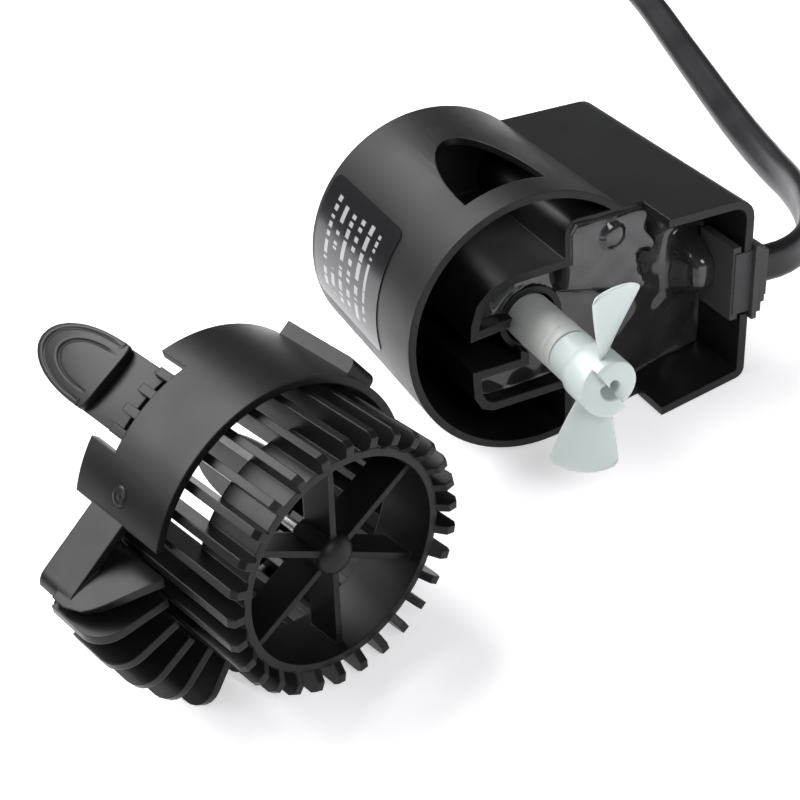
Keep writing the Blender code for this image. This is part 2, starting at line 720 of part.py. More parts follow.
def propeller(frame, clear_blue):
    """Two-bladed propeller; its hub has a rear pocket with a stop for the drive dog and two front ramps."""
    back = hub_back()
    front = back + HUB_LENGTH
    wall = back + DOG_LENGTH + 0.9 * MM
    bore = SHAFT_RADIUS + RUNNING_GAP
    hub = turned([(bore, wall), (HUB_POCKET, wall), (HUB_POCKET, back), (HUB_RADIUS - 0.3 * MM, back),
                  (HUB_RADIUS, back + 0.4 * MM), (HUB_RADIUS, front), (bore, front)], 48)
    made = piece("propeller", hub, frame, clear_blue)
    near, far = bore + 0.4 * MM, HUB_POCKET + 0.4 * MM
    stop = [(near, back + GAP), (far, back + GAP), (far, wall + 0.4 * MM), (near, wall + 0.4 * MM)]
    join(made, sector(stop, -STOP_ANGLE / 2, STOP_ANGLE / 2, 8))
    ramp = [(bore + 0.01 * MM, front - 0.8 * MM), (HUB_RADIUS - 0.05 * MM, front - 0.8 * MM),
            (HUB_RADIUS - 0.05 * MM, front + 0.02 * MM), (bore + 0.01 * MM, front + 0.02 * MM)]
    for index in (0, 1):
        start = 120.0 + 180.0 * index
        join(made, sector(ramp, start, start + 176.0, 20, RAMP_RISE))
        join(made, propeller_blade(BLADE_ANGLE + 180.0 * index))
    return made


# ---------------------------------------------------------------- cover


def fin_reach(angle):
    """Radius at which a fin meets the louvre's outline: a bulged outer face, a side plate and a flat foot."""
    turn = math.radians(angle)
    radius = FIN_REACH
    for _ in range(12):
        radius = (FIN_REACH - (radius * math.sin(turn)) ** 2 / (2 * FIN_BULGE_RADIUS)) / math.cos(turn)
    if angle < 0:
        return min(radius, PLATE_OFFSET / math.sin(-turn))
    return min(radius, FOOT_OFFSET / math.cos(turn - math.radians(FOOT_ANGLE)))


def fin_profile(inner, outer, back, front, corner):
    rounded = arc((outer - corner, front - corner), corner, 0, 90, 6)
    return [(inner, back), (outer, back)] + rounded + [(inner, front)]


def cover_shell(frame, plastic):
    """C-shaped ring with two latch notches and a rail, and the louvre that closes it on the box's side."""
    inner = BARREL_RADIUS - RING_WALL
    ring_profile = [(inner, 0), (BARREL_RADIUS, 0), (BARREL_RADIUS, RING_LENGTH), (inner, RING_LENGTH)]
    shell = piece("cover_shell", sector(ring_profile, RING_END_ANGLE, 360 - RING_END_ANGLE, 84), frame, plastic)
    for side in (-1, 1):
        notch = [(s, NOTCH_HALF_ANGLE, inner - MM, BARREL_RADIUS + MM) for s in (-MM, NOTCH_DEPTH)]
        cut(shell, wrapped_plate(notch, side * LATCH_ANGLE, 12))
    top = BARREL_RADIUS + RAIL_HEIGHT
    rail = fin_profile(BARREL_RADIUS - 0.7 * MM, top, 0.02 * MM, RAIL_LENGTH, 1.6 * MM)
    join(shell, radial_plate(rail, RAIL_WIDTH, 180))

    front = RING_LENGTH + 0.4 * MM
    seat = CAGE_RADIUS + GAP
    root = seat + 0.4 * MM
    fins = []
    for index in range(3):
        for side in (-1, 1):
            angle = side * (index + 0.5) * PITCH
            fins.append(radial_plate(fin_profile(root, fin_reach(angle), FIN_FLOOR + 0.7 * MM, front, 4.6 * MM),
                                     FIN_THICKNESS, angle))
    join(shell, gather(fins))
    join(shell, side_plate())
    join(shell, foot_plate())
    angle = 3.5 * PITCH
    low = PLATE_BACK + PLATE_DEPTH - 0.4 * MM
    corner = fin_profile(root, fin_reach(angle) - 0.7 * MM, FIN_FLOOR + 0.7 * MM, low, 0.5 * MM)
    join(shell, radial_plate(corner, FIN_THICKNESS, angle))
    join(shell, bent_fin(root, front, low))
    join(shell, louvre_floor())
    collar = [(seat, 9.2 * MM), (inner + 0.5 * MM, 9.2 * MM), (inner + 0.5 * MM, 11.2 * MM), (seat, 11.2 * MM)]
    join(shell, sector(collar, RING_END_ANGLE + 2, 358 - RING_END_ANGLE, 60))
    return shell


def bent_fin(root, front, low):
    """The fin beside the side plate: it leaves the cage's seat, bends to run in the plate and falls to its edge."""
    turn = math.radians(BENT_FIN_ANGLE)
    beside = FIN_THICKNESS / 2 + 0.1 * MM - PLATE_OFFSET
    start = Vector((root * math.cos(turn), -root * math.sin(turn)))
    bend, end = Vector((BENT_FIN_BEND, beside)), Vector((BENT_FIN_REACH, beside))
    steps = 12
    bm = bmesh.new()
    sheets = ([], [])
    for i in range(steps + 1):
        t = i / steps
        point = start * (1 - t) ** 2 + bend * 2 * t * (1 - t) + end * t**2
        along = ((bend - start) * (1 - t) + (end - bend) * t).normalized()
        across = (point.x - start.x) / (end.x - start.x)
        top = low + (front - low) * math.sqrt(1 - across**1.4)
        for rows, side in zip(sheets, (-0.5, 0.5)):
            x, z = point + Vector((-along.y, along.x)) * FIN_THICKNESS * side
            rows.append([bm.verts.new((x, -s, z)) for s in (FIN_FLOOR + 0.7 * MM, top)])
    close_sheets(bm, *sheets)
    return tidy(bm)


def side_plate():
    """Flat plate from the ring's end out to the louvre's corner, with a round outer corner."""
    start = BARREL_RADIUS * math.cos(math.radians(RING_END_ANGLE)) - 0.6 * MM
    bend = 3.0 * MM
    outer = arc((PLATE_REACH - bend, bend - PLATE_OFFSET), bend, -90, -35, 4)
    inner = arc((PLATE_REACH - bend, bend - PLATE_OFFSET), bend - RING_WALL, -35, -90, 4)
    outline = [(start, -PLATE_OFFSET)] + outer + inner + [(start, RING_WALL - PLATE_OFFSET)]
    return prism(outline, PLATE_BACK, PLATE_BACK + PLATE_DEPTH)


def foot_plate():
    """Flat plate from the ring's other end, on which the cover stands; the fins end on it."""
    turn = math.radians(FOOT_ANGLE)
    normal = Vector((math.cos(turn), math.sin(turn)))
    along = Vector((math.sin(turn), -math.cos(turn)))
    start, end = 2.0 * MM, FOOT_LENGTH
    rows = [(start, FOOT_OFFSET - RING_WALL - 0.3 * MM), (end, FOOT_OFFSET - RING_WALL), (end, FOOT_OFFSET),
            (start, FOOT_OFFSET)]
    return prism([tuple(normal * out + along * t) for t, out in rows], PLATE_BACK, PLATE_BACK + PLATE_DEPTH)


def louvre_floor():
    """Thin wall behind the fins, inside the louvre's outline and outside the cage."""
    limit = 3.5 * PITCH
    inner = CAGE_RADIUS + GAP
    steps = 14
    bm = bmesh.new()
    sheets = []
    for s in (FIN_FLOOR, FIN_FLOOR + 1.3 * MM):
        rows = []
        for share in (0.0, 1.0):
            row = []
            for i in range(steps + 1):
                angle = limit * (2 * i / steps - 1)
                reach = fin_reach(angle) - 0.5 * MM
                radius = inner + (reach - inner) * share
                turn = math.radians(angle)
                row.append(bm.verts.new((radius * math.cos(turn), -s, radius * math.sin(turn))))
            rows.append(row)
        sheets.append(rows)
    close_sheets(bm, *sheets)
    return tidy(bm)


def guard_cage(frame, plastic):
    """Nozzle tube held by a rear ring and the ribs, with six spokes and a hub at its front."""
    inner = TUBE_RADIUS - TUBE_WALL
    walls = [(inner, TUBE_BACK), (TUBE_RADIUS, TUBE_BACK), (TUBE_RADIUS, TUBE_FRONT), (inner, TUBE_FRONT)]
    tube = turned(walls, 87)
    cage = piece("guard_cage", tube, frame, plastic)
    middle = (inner + TUBE_RADIUS) / 2
    rib = [(middle, CAGE_BACK), (CAGE_RADIUS, CAGE_BACK), (CAGE_RADIUS, CAGE_LENGTH - 1.0 * MM),
           (CAGE_RADIUS - 0.7 * MM, CAGE_LENGTH), (CAGE_RADIUS - 2.3 * MM, CAGE_LENGTH),
           (middle, TUBE_FRONT - 0.4 * MM)]
    ribs = [radial_plate(rib, RIB_THICKNESS, 180 + PITCH * i) for i in range(RIB_COUNT)]
    join(cage, gather(ribs))
    hoop = [(middle - 0.3 * MM, CAGE_BACK - 0.5 * MM), (CAGE_RADIUS - 0.5 * MM, CAGE_BACK - 0.5 * MM),
            (CAGE_RADIUS - 0.5 * MM, CAGE_BACK + 1.1 * MM), (middle - 0.3 * MM, CAGE_BACK + 1.1 * MM)]
    join(cage, turned(hoop, 58))
    spoke = [(CAGE_HUB_RADIUS - 0.8 * MM, SPOKE_BACK + 0.3 * MM), (middle, SPOKE_BACK + 0.3 * MM),
             (middle, SPOKE_FRONT), (CAGE_HUB_RADIUS - 0.8 * MM, SPOKE_FRONT)]
    spokes = [radial_plate(spoke, SPOKE_THICKNESS, SPOKE_TURN + 60 * i) for i in range(SPOKE_COUNT)]
    join(cage, gather(spokes))
    dome = [(CAGE_HUB_RADIUS * math.cos(a), SPOKE_FRONT - 0.4 * MM + 2.2 * MM * math.sin(a))
            for a in map(math.radians, (0, 18, 36, 54, 72, 90))]
    bore = PIN_RADIUS + GAP
    seat = [(0, dome[-1][1]), (0, PIN_SEAT), (bore, PIN_SEAT)]
    hub = [(bore, SPOKE_BACK), (CAGE_HUB_RADIUS, SPOKE_BACK)] + dome[:-1] + seat
    join(cage, turned(hub, 32))
    return cage


PIN_RADIUS = 0.9 * MM
PIN_SEAT = 31.5 * MM


def front_pin(frame, steel):
    """Stub pin in the cage's hub, on which the propeller's nose runs when the cover is on."""
    back = 21.4 * MM
    profile = [(0, back), (PIN_RADIUS - 0.2 * MM, back), (PIN_RADIUS, back + 0.3 * MM), (PIN_RADIUS, PIN_SEAT - GAP),
               (0, PIN_SEAT - GAP)]
    return piece("front_pin", turned(profile, 20), frame, steel)


def latch(name, angle, frame, plastic):
    """Sprung tab: stem under the barrel's band, leaf that rises into the window, straps at its root."""
    under = BARREL_RADIUS - BARREL_WALL - GAP
    stem_in = under - 1.5 * MM
    root = CAGE_BACK - 2 * GAP - 0.5 * MM
    catch = -BAND_DEPTH - 0.4 * MM
    middle_angle = math.radians(angle)
    hinge = Vector((under * math.cos(middle_angle), -root, under * math.sin(middle_angle)))
    stem = wrapped_plate([(s, 15.5, stem_in, under) for s in (catch - 3 * MM, catch, -2 * MM, root)], angle)
    made = piece(name, stem, frame, plastic, hinge)

    leaf = []
    for i in range(13):
        share = i / 12
        half = LEAF_HALF_ANGLE * math.sqrt(max(0.02, 1.0 - share**2.3))
        crown = BARREL_RADIUS - 0.3 * MM - 1.0 * MM * share**2
        leaf.append((catch - LEAF_LENGTH * share, half, crown - 2.6 * MM + 1.0 * MM * share, crown))
    join(made, wrapped_plate(leaf[::-1], angle, 10))
    for offset in (-13.4, -4.6, 4.6, 13.4):
        ends = (root - 1.6 * MM, NOTCH_DEPTH - GAP)
        strap = [(s, 1.8, under - 0.15 * MM, BARREL_RADIUS - 0.6 * MM) for s in ends]
        join(made, wrapped_plate(strap, angle + offset, 2))
    return made


# ---------------------------------------------------------------- cord and plug


def cord_exit():
    """The centre of the gland's nose, in the layout's frame."""
    u, v = BOX_REACH + GAP + GLAND_NOSE + GAP, GLAND_CENTRE
    s = BARREL_LENGTH + BOX_STEP - GLAND_DEPTH / 2 + GAP / 2
    turn = math.radians(BOX_SLANT)
    x, z = u * math.cos(turn) + v * math.sin(turn), v * math.cos(turn) - u * math.sin(turn)
    return Vector((MOTOR_AT[0] + x, MOTOR_AT[1] - s, BARREL_RADIUS + z))


def coil_point(angle, radius, height):
    turn = math.radians(angle)
    return Vector((COIL_AT[0] + radius * math.cos(turn), COIL_AT[1] + radius * math.sin(turn), height))


def flex_cord(frame, pvc):
    """The cord from the gland to its coil, then from the coil to the plug."""
    start = cord_exit()
    lean = math.radians(BOX_SLANT)
    out = Vector((math.cos(lean), 0, -math.sin(lean)))
    bend = [(60.6, -39.7, 13.6), (66.1, -31.1, 12.2), (70.9, -20.2, 10.4), (75.2, -6.5, 8.4), (82.8, 17.0, 5.8),
            (95.6, 55.8, 3.6), (106.6, 89.8, CORD_RADIUS / MM + 0.4), (111.6, 110.0, 3.2), (115.3, 131.0, 3.4)]
    entry = coil_point(COIL_ENTRY_ANGLE, COIL_MEAN_RADIUS + BUNDLE_WIDTH / 2 + CORD_RADIUS + GAP, 3.8 * MM)
    route = [start, start + out * 6 * MM, start + out * 12 * MM + Vector((0, 2.6 * MM, 0))]
    route += [Vector(point) * MM for point in bend] + [entry]
    tube_along("cord_tube", smooth_points(route, CORD_SPACING), CORD_RADIUS, pvc, frame)

    half = BUNDLE_WIDTH / 2
    corner = 3.0 * MM
    section = []
    for r_side, z_side, first in ((1, -1, -90), (1, 1, 0), (-1, 1, 90), (-1, -1, 180)):
        middle = BUNDLE_HEIGHT / 2
        centre = (COIL_MEAN_RADIUS + r_side * (half - corner), middle + z_side * (middle - corner))
        section += arc(centre, corner, first, first + 90, 4)
    ring = turned([(radius, -height) for radius, height in section], 56)
    bmesh.ops.rotate(ring, verts=ring.verts, cent=(0, 0, 0), matrix=Matrix.Rotation(math.radians(-90), 3, "X"))
    lift_to(ring, TIE_THICKNESS + GAP)
    bmesh.ops.translate(ring, verts=ring.verts, vec=(*COIL_AT, 0))
    piece("cord_coil", ring, frame, pvc)

    heading = Vector((math.cos(math.radians(PLUG_HEADING)), math.sin(math.radians(PLUG_HEADING)), 0))
    plug_back = Vector((*PLUG_AT, PLUG_THICKNESS / 2)) - heading * GAP
    leave = coil_point(COIL_EXIT_ANGLE, COIL_MEAN_RADIUS + half + CORD_RADIUS + GAP, 10.6 * MM)
    tangent = math.radians(COIL_EXIT_ANGLE - 90)
    along = Vector((math.cos(tangent), math.sin(tangent), 0))
    route = [leave, leave + along * 12 * MM, plug_back - heading * 10 * MM, plug_back]
    tube_along("cord_tail", smooth_points(route, CORD_SPACING), CORD_RADIUS, pvc, frame)


def lift_to(bm, height):
    low = min(vert.co.z for vert in bm.verts)
    bmesh.ops.translate(bm, verts=bm.verts, vec=(0, 0, height - low))


def coil_tie(frame, finish):
    """Flat band that goes once round the coil's bundle."""
    inner_width = BUNDLE_WIDTH + 2 * GAP
    inner_height = BUNDLE_HEIGHT + 2 * GAP
    thick = TIE_THICKNESS
    middle = BUNDLE_HEIGHT / 2
    half = 4.0 * MM

    def block(width, height, reach):
        shape = bmesh.new()
        bmesh.ops.create_cube(shape, size=1.0)
        bmesh.ops.scale(shape, verts=shape.verts, vec=(width, reach, height))
        bmesh.ops.translate(shape, verts=shape.verts, vec=(COIL_MEAN_RADIUS, 0, middle))
        return shape

    band = block(inner_width + 2 * thick, inner_height + 2 * thick, 2 * half)
    tie = piece("coil_tie", band, frame, finish)
    cut(tie, block(inner_width, inner_height, 4 * half))
    for vert in tie.data.vertices:
        vert.co = Matrix.Rotation(math.radians(75), 3, "Z") @ vert.co + Vector((*COIL_AT, thick + GAP))
    return tie


def mains_plug(frame, finishes):
    """Flat two-pin plug lying on the table, with its pins forward."""
    turn = Matrix.Rotation(math.radians(PLUG_HEADING), 3, "Z")
    place = Vector((*PLUG_AT, PLUG_THICKNESS / 2))

    def settle(bm):
        bmesh.ops.rotate(bm, verts=bm.verts, cent=(0, 0, 0), matrix=turn)
        bmesh.ops.translate(bm, verts=bm.verts, vec=place)
        return bm

    wide, high = PLUG_WIDTH / 2 / MM, PLUG_THICKNESS / 2 / MM
    sections = [(0.0, 5.2, 4.4), (6.0, 6.0, 5.0), (13.0, 9.0, 6.0), (20.0, wide - 2.0, high - 0.2),
                (26.0, wide, high), (PLUG_LENGTH / MM, wide, high)]
    body = bmesh.new()
    rings = []
    for x, half_width, half_height in sections:
        ring = []
        for i in range(24):
            turn_angle = math.tau * i / 24
            c, s = math.cos(turn_angle), math.sin(turn_angle)
            y = half_width * math.copysign(abs(c) ** 0.5, c)
            z = half_height * math.copysign(abs(s) ** 0.5, s)
            ring.append(body.verts.new((x * MM, y * MM, z * MM)))
        rings.append(ring)
    for before, after in zip(rings, rings[1:]):
        for i in range(24):
            body.faces.new((before[i - 1], before[i], after[i], after[i - 1]))
    body.faces.new(rings[0])
    body.faces.new(rings[-1])
    piece("plug_body", settle(tidy(body)), frame, finishes["pvc"])
    for name, side in (("plug_pin_live", 1), ("plug_pin_neutral", -1)):
        foot = PLUG_LENGTH + GAP
        tip = foot + PIN_LENGTH
        pin = turned([(0, foot), (PLUG_PIN_RADIUS, foot), (PLUG_PIN_RADIUS, tip - 1.2 * MM),
                      (PLUG_PIN_RADIUS - 1.0 * MM, tip), (0, tip)], 20)
        bmesh.ops.rotate(pin, verts=pin.verts, cent=(0, 0, 0), matrix=Matrix.Rotation(math.radians(90), 3, "Z"))
        bmesh.ops.translate(pin, verts=pin.verts, vec=(0, side * PLUG_PITCH / 2, 0))
        piece(name, settle(pin), frame, finishes["brass"])


# ---------------------------------------------------------------- everything


def build():
    clear_scene()
    black = material("black_plastic", (0.025, 0.025, 0.027), 0.42)
    finishes = {
        "iron": material("core_iron", (0.32, 0.32, 0.34), 0.5, 1.0),
        "nylon": material("natural_nylon", (0.75, 0.73, 0.66), 0.5),
        "copper": material("enamelled_copper", (0.62, 0.28, 0.12), 0.35, 1.0),
        "brown": material("brown_lead", (0.2, 0.09, 0.04), 0.45),
        "blue": material("blue_lead", (0.03, 0.12, 0.4), 0.45),
        "rubber": material("black_rubber", (0.03, 0.03, 0.03), 0.8),
        "ceramic": material("white_ceramic", (0.85, 0.84, 0.8), 0.25),
        "magnet": material("cream_sleeve", (0.8, 0.79, 0.75), 0.4),
        "clear_blue": material("pale_blue_plastic", (0.72, 0.77, 0.78), 0.35),
        "steel": material("pin_steel", (0.7, 0.7, 0.7), 0.25, 1.0),
        "brass": material("plated_brass", (0.75, 0.7, 0.55), 0.25, 1.0),
        "pvc": material("cord_pvc", (0.03, 0.03, 0.032), 0.45),
    }
    layout = assembly_frame("layout", LAYOUT_AT, (0.0, 0.0, 0.0))
    motor = assembly_frame("motor_frame", (*MOTOR_AT, BARREL_RADIUS), (0.0, BOX_SLANT, 0.0), layout)
    motor_housing(motor, black)
    cord_gland(motor, finishes["rubber"])
    stator(motor, finishes)
    potting_resin(motor, material("potting_resin", (0.06, 0.06, 0.065), 0.12))
    lead_wires(motor, finishes)
    label_sticker(motor, material("label_film", (0.01, 0.01, 0.01), 0.15))
    rotor_group(motor, finishes)
    propeller(motor, finishes["clear_blue"])

    flex_cord(layout, finishes["pvc"])
    coil_tie(layout, finishes["rubber"])
    mains_plug(layout, finishes)

    cover = assembly_frame("cover_frame", COVER_AT, COVER_TURN, layout)
    cover_shell(cover, black)
    guard_cage(cover, black)
    front_pin(cover, finishes["steel"])
    latch("latch_upper", -LATCH_ANGLE, cover, black)
    latch("latch_lower", LATCH_ANGLE, cover, black)


build()
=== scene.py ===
"""Wave maker pump taken apart on a pale table: the motor unit with its cord, and the clip-on cover."""

import json
import math

import bmesh
import bpy
import numpy as np
from bpy.props import FloatProperty, FloatVectorProperty, IntProperty, PointerProperty
from mathutils import Matrix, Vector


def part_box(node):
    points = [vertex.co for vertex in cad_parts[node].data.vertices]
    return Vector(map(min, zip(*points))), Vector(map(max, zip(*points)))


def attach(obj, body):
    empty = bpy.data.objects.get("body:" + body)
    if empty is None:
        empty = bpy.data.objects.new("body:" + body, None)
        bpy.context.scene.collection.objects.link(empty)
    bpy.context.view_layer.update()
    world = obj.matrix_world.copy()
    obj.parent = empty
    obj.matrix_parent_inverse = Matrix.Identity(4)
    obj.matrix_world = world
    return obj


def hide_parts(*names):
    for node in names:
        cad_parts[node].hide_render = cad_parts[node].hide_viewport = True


bl_info = {
    "name": "Wave maker pump",
    "version": (1, 0, 0),
    "blender": (4, 5, 0),
    "location": "View3D > Sidebar > Wave Pump",
    "description": "Builds a small wave maker pump, taken apart on a table",
    "category": "Object",
}

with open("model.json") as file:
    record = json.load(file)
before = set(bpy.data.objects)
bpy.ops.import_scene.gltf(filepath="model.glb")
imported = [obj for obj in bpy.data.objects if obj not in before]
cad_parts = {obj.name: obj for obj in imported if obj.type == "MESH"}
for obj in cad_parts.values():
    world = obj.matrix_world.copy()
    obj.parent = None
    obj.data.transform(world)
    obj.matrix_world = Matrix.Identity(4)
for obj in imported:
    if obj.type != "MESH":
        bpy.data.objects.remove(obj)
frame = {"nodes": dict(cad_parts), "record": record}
MM = 0.001
TAU = 2.0 * math.pi


# ------------------------------------------------------------------ where the two assemblies lie


HINGE_RADIUS = 23.3 * MM
HINGE_S = 3.9 * MM
BARREL_RADIUS = 25.0 * MM
BOX_LEAN = 11.0


def joint_of(name):
    return next(joint for joint in frame["record"]["behaviour"]["joints"] if joint["name"] == name)


def corners_of(node):
    """The low and high corners of a CAD node's box, as rows."""
    return np.array(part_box(node), float).reshape(2, 3)


def motor_axes():
    """Origin and axes of the motor unit: u towards the box, v across and s forward. They come from the joint
    of the rotor and from the box's flat top."""
    spin = joint_of("rotor_spin")
    top = next(mount for mount in frame["record"]["mounts"] if mount["name"] == "box_top")
    forward = np.array(spin["axis"], float)
    across = np.array(top["axis"], float)
    out = np.cross(across, forward)
    origin = np.array(spin["pos_m"], float)
    origin[1] = corners_of("motor_housing")[:, 1].max()
    return origin, out, across, forward


def cover_axes():
    """The cover's origin and axes: its two latch hinges lie evenly either side of its u axis."""
    upper, lower = joint_of("latch_upper_flex"), joint_of("latch_lower_flex")
    a, b = np.array(upper["axis"], float), np.array(lower["axis"], float)
    forward = -np.cross(a, b)
    forward /= np.linalg.norm(forward)
    ra, rb = np.cross(a, forward), np.cross(b, forward)
    out = -(ra + rb)
    out /= np.linalg.norm(out)
    across = np.cross(forward, out)
    across = across if across @ rb > 0 else -across
    origin = np.array(upper["pos_m"], float) - HINGE_RADIUS * ra - HINGE_S * forward
    return origin, out, across, forward


MOTOR = motor_axes()
COVER = cover_axes()


def placed(axes, u, v, s):
    """Points of an assembly's (u, v, s) frame in the scene: origin + u out + v across + s forward."""
    origin, out, across, forward = axes
    u, v, s = np.broadcast_arrays(u, v, s)
    return origin + u[..., None] * out + v[..., None] * across + s[..., None] * forward


# ------------------------------------------------------------------ surfaces


def grid_faces(rows, columns, wrap_rows, wrap_columns):
    """Quads of a grid of vertices, joined round where it wraps."""
    i = np.arange(rows if wrap_rows else rows - 1)
    j = np.arange(columns if wrap_columns else columns - 1)
    i, j = np.meshgrid(i, j, indexing="ij")
    i2, j2 = (i + 1) % rows, (j + 1) % columns
    corners = (i * columns + j, i * columns + j2, i2 * columns + j2, i2 * columns + j)
    return np.stack(corners, -1).reshape(-1, 4)


def mesh_object(name, points, faces, finish, caps=()):
    """A mesh from vertices, quads and the polygons that close its ends, with its normals turned outwards."""
    mesh = bpy.data.meshes.new(name)
    mesh.from_pydata(points.reshape(-1, 3).tolist(), [], faces.tolist() + [list(cap) for cap in caps])
    bm = bmesh.new()
    bm.from_mesh(mesh)
    bmesh.ops.remove_doubles(bm, verts=bm.verts, dist=1e-7)
    bmesh.ops.dissolve_degenerate(bm, edges=bm.edges, dist=1e-8)
    bmesh.ops.recalc_face_normals(bm, faces=bm.faces)
    bm.to_mesh(mesh)
    bm.free()
    mesh.shade_smooth()
    mesh.set_sharp_from_angle(angle=math.radians(38))
    mesh.materials.append(finish)
    made = bpy.data.objects.new(name, mesh)
    bpy.context.scene.collection.objects.link(made)
    return made


def loft(name, grid, finish):
    """Rows of a closed section, one after another: the grid wraps along its second axis, with capped ends."""
    rows, columns = grid.shape[:2]
    caps = [range(columns), range((rows - 1) * columns, rows * columns)]
    return mesh_object(name, grid, grid_faces(rows, columns, False, True), finish, caps)


def revolved(name, axes, profile, finish, steps=96):
    """A (radius, s) profile carried once round the axis: closed, or with both of its ends on the axis."""
    profile = np.array(profile, float)
    turn = np.linspace(0, TAU, steps, endpoint=False)[:, None]
    radius, s = profile[None, :, 0], profile[None, :, 1]
    grid = placed(axes, radius * np.cos(turn), radius * np.sin(turn), s)
    closed = profile[0, 0] > 1e-9
    return mesh_object(name, grid, grid_faces(steps, len(profile), True, closed), finish)


def rounded(profile, radius, steps=4):
    """A closed (a, b) polygon, each corner replaced by a quadratic curve that reaches radius either side."""
    profile = np.array(profile, float)
    before, after = np.roll(profile, 1, 0) - profile, np.roll(profile, -1, 0) - profile
    reach_in = np.minimum(radius, 0.45 * np.linalg.norm(before, axis=1))[:, None]
    reach_out = np.minimum(radius, 0.45 * np.linalg.norm(after, axis=1))[:, None]
    start = profile + before / np.linalg.norm(before, axis=1)[:, None] * reach_in
    end = profile + after / np.linalg.norm(after, axis=1)[:, None] * reach_out
    t = np.linspace(0, 1, steps + 1)[None, :, None]
    curve = (1 - t) ** 2 * start[:, None] + 2 * t * (1 - t) * profile[:, None] + t**2 * end[:, None]
    return curve.reshape(-1, 2)


def read(collection, name, width, kind=np.float64):
    """An attribute of every element of a mesh collection, as an array."""
    values = np.empty(len(collection) * width, kind)
    collection.foreach_get(name, values)
    return values.reshape(-1, width) if width > 1 else values


def smooth_by_area(mesh, angle):
    """Corner normals: each is the sum, weighted by area, of the normals of those faces of the vertex that lie
    within the angle of the corner's own face. Slivers beside a cut then don't bend a large face's shading."""
    vertex = read(mesh.loops, "vertex_index", 1, np.int32)
    face = np.repeat(np.arange(len(mesh.polygons)), read(mesh.polygons, "loop_total", 1, np.int32))
    normal, area = read(mesh.polygons, "normal", 3), read(mesh.polygons, "area", 1)
    order = np.argsort(vertex, kind="stable")
    counts = np.bincount(vertex, minlength=len(mesh.vertices))
    starts = np.cumsum(counts) - counts
    share = counts[vertex]
    first = np.repeat(np.arange(len(vertex)), share)
    second = order[starts[vertex[first]] + np.arange(len(first)) - np.repeat(np.cumsum(share) - share, share)]
    alike = (normal[face[first]] * normal[face[second]]).sum(1) > math.cos(math.radians(angle))
    total = np.zeros((len(vertex), 3))
    np.add.at(total, first[alike], normal[face[second[alike]]] * area[face[second[alike]], None])
    length = np.linalg.norm(total, axis=1)
    total[length < 1e-14] = normal[face[length < 1e-14]]
    total /= np.linalg.norm(total, axis=1)[:, None]
    mesh.shade_smooth()
    mesh.normals_split_custom_set(total.tolist())


def moulded(name, node, finish, body, angle=32.0, keep=None):
    """A copy of a CAD node with its loose triangles merged and its round faces shaded smooth. keep is a
    (point, normal) plane: what lies behind it is left out."""
    source = frame["nodes"][node]
    bm = bmesh.new()
    bm.from_mesh(source.data)
    bmesh.ops.remove_doubles(bm, verts=bm.verts, dist=2e-7)
    if keep:
        point, normal = keep
        everything = bm.verts[:] + bm.edges[:] + bm.faces[:]
        cut = bmesh.ops.bisect_plane(bm, geom=everything, plane_co=point, plane_no=normal, clear_inner=True)
        rim = [item for item in cut["geom_cut"] if isinstance(item, bmesh.types.BMEdge)]
        bmesh.ops.holes_fill(bm, edges=rim, sides=0)
    mesh = bpy.data.meshes.new(name)
    bm.to_mesh(mesh)
    bm.free()
    smooth_by_area(mesh, angle)
    mesh.materials.clear()
    mesh.materials.append(finish)
    made = bpy.data.objects.new(name, mesh)
    bpy.context.scene.collection.objects.link(made)
    settle(made, body, node)
    return made


def settle(made, body, node=None):
    """Puts a piece on its body, in place of its CAD node, with the node's material slot."""
    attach(made, body)
    if node:
        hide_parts(node)


# ------------------------------------------------------------------ shader groups


def new_group(name, inputs, outputs):
    """An empty shader node group: inputs are (name, type, default) and outputs (name, type)."""
    group = bpy.data.node_groups.new(name, "ShaderNodeTree")
    for label, kind, default in inputs:
        socket = group.interface.new_socket(label, in_out="INPUT", socket_type=kind)
        if default is not None:
            socket.default_value = default
    for label, kind in outputs:
        group.interface.new_socket(label, in_out="OUTPUT", socket_type=kind)
    return group, group.nodes.new("NodeGroupInput"), group.nodes.new("NodeGroupOutput")


def fill(tree, node, values):
    """Sets a node's inputs: each value is an output to link, or a plain value."""
    for key, value in values.items():
        if isinstance(value, bpy.types.NodeSocket):
            tree.links.new(value, node.inputs[key])
        else:
            node.inputs[key].default_value = value
    return node


def node_in(tree, kind, values=None, **settings):
    """A node with its properties and its inputs set."""
    made = tree.nodes.new(kind)
    for key, value in settings.items():
        setattr(made, key, value)
    return fill(tree, made, values or {})


def maths(tree, operation, a, b=0.0, clamp=False):
    return node_in(tree, "ShaderNodeMath", {0: a, 1: b}, operation=operation, use_clamp=clamp).outputs[0]


def near_to(tree, value, target, tolerance):
    """1 where a value is within the tolerance of the target, and otherwise 0."""
    values = {0: value, 1: target, 2: tolerance}
    return node_in(tree, "ShaderNodeMath", values, operation="COMPARE").outputs[0]


def mixed_colour(tree, factor, a, b):
    return node_in(tree, "ShaderNodeMix", {0: factor, 6: a, 7: b}, data_type="RGBA").outputs[2]


def object_place(tree):
    return node_in(tree, "ShaderNodeTexCoord").outputs["Object"]


def noise(tree, vector, **values):
    return node_in(tree, "ShaderNodeTexNoise", {"Vector": vector, **values}).outputs["Fac"]


def bands(tree, direction, scale, distortion):
    """Bands across an object axis."""
    values = {"Vector": object_place(tree), "Scale": scale, "Distortion": distortion, "Detail": 1.0}
    return node_in(tree, "ShaderNodeTexWave", values, bands_direction=direction).outputs["Fac"]


def bump(tree, strength, distance, height, **more):
    """The normal of a bump whose distance is in millimetres."""
    values = {"Strength": strength, "Distance": distance * MM, "Height": height, **more}
    return node_in(tree, "ShaderNodeBump", values).outputs["Normal"]


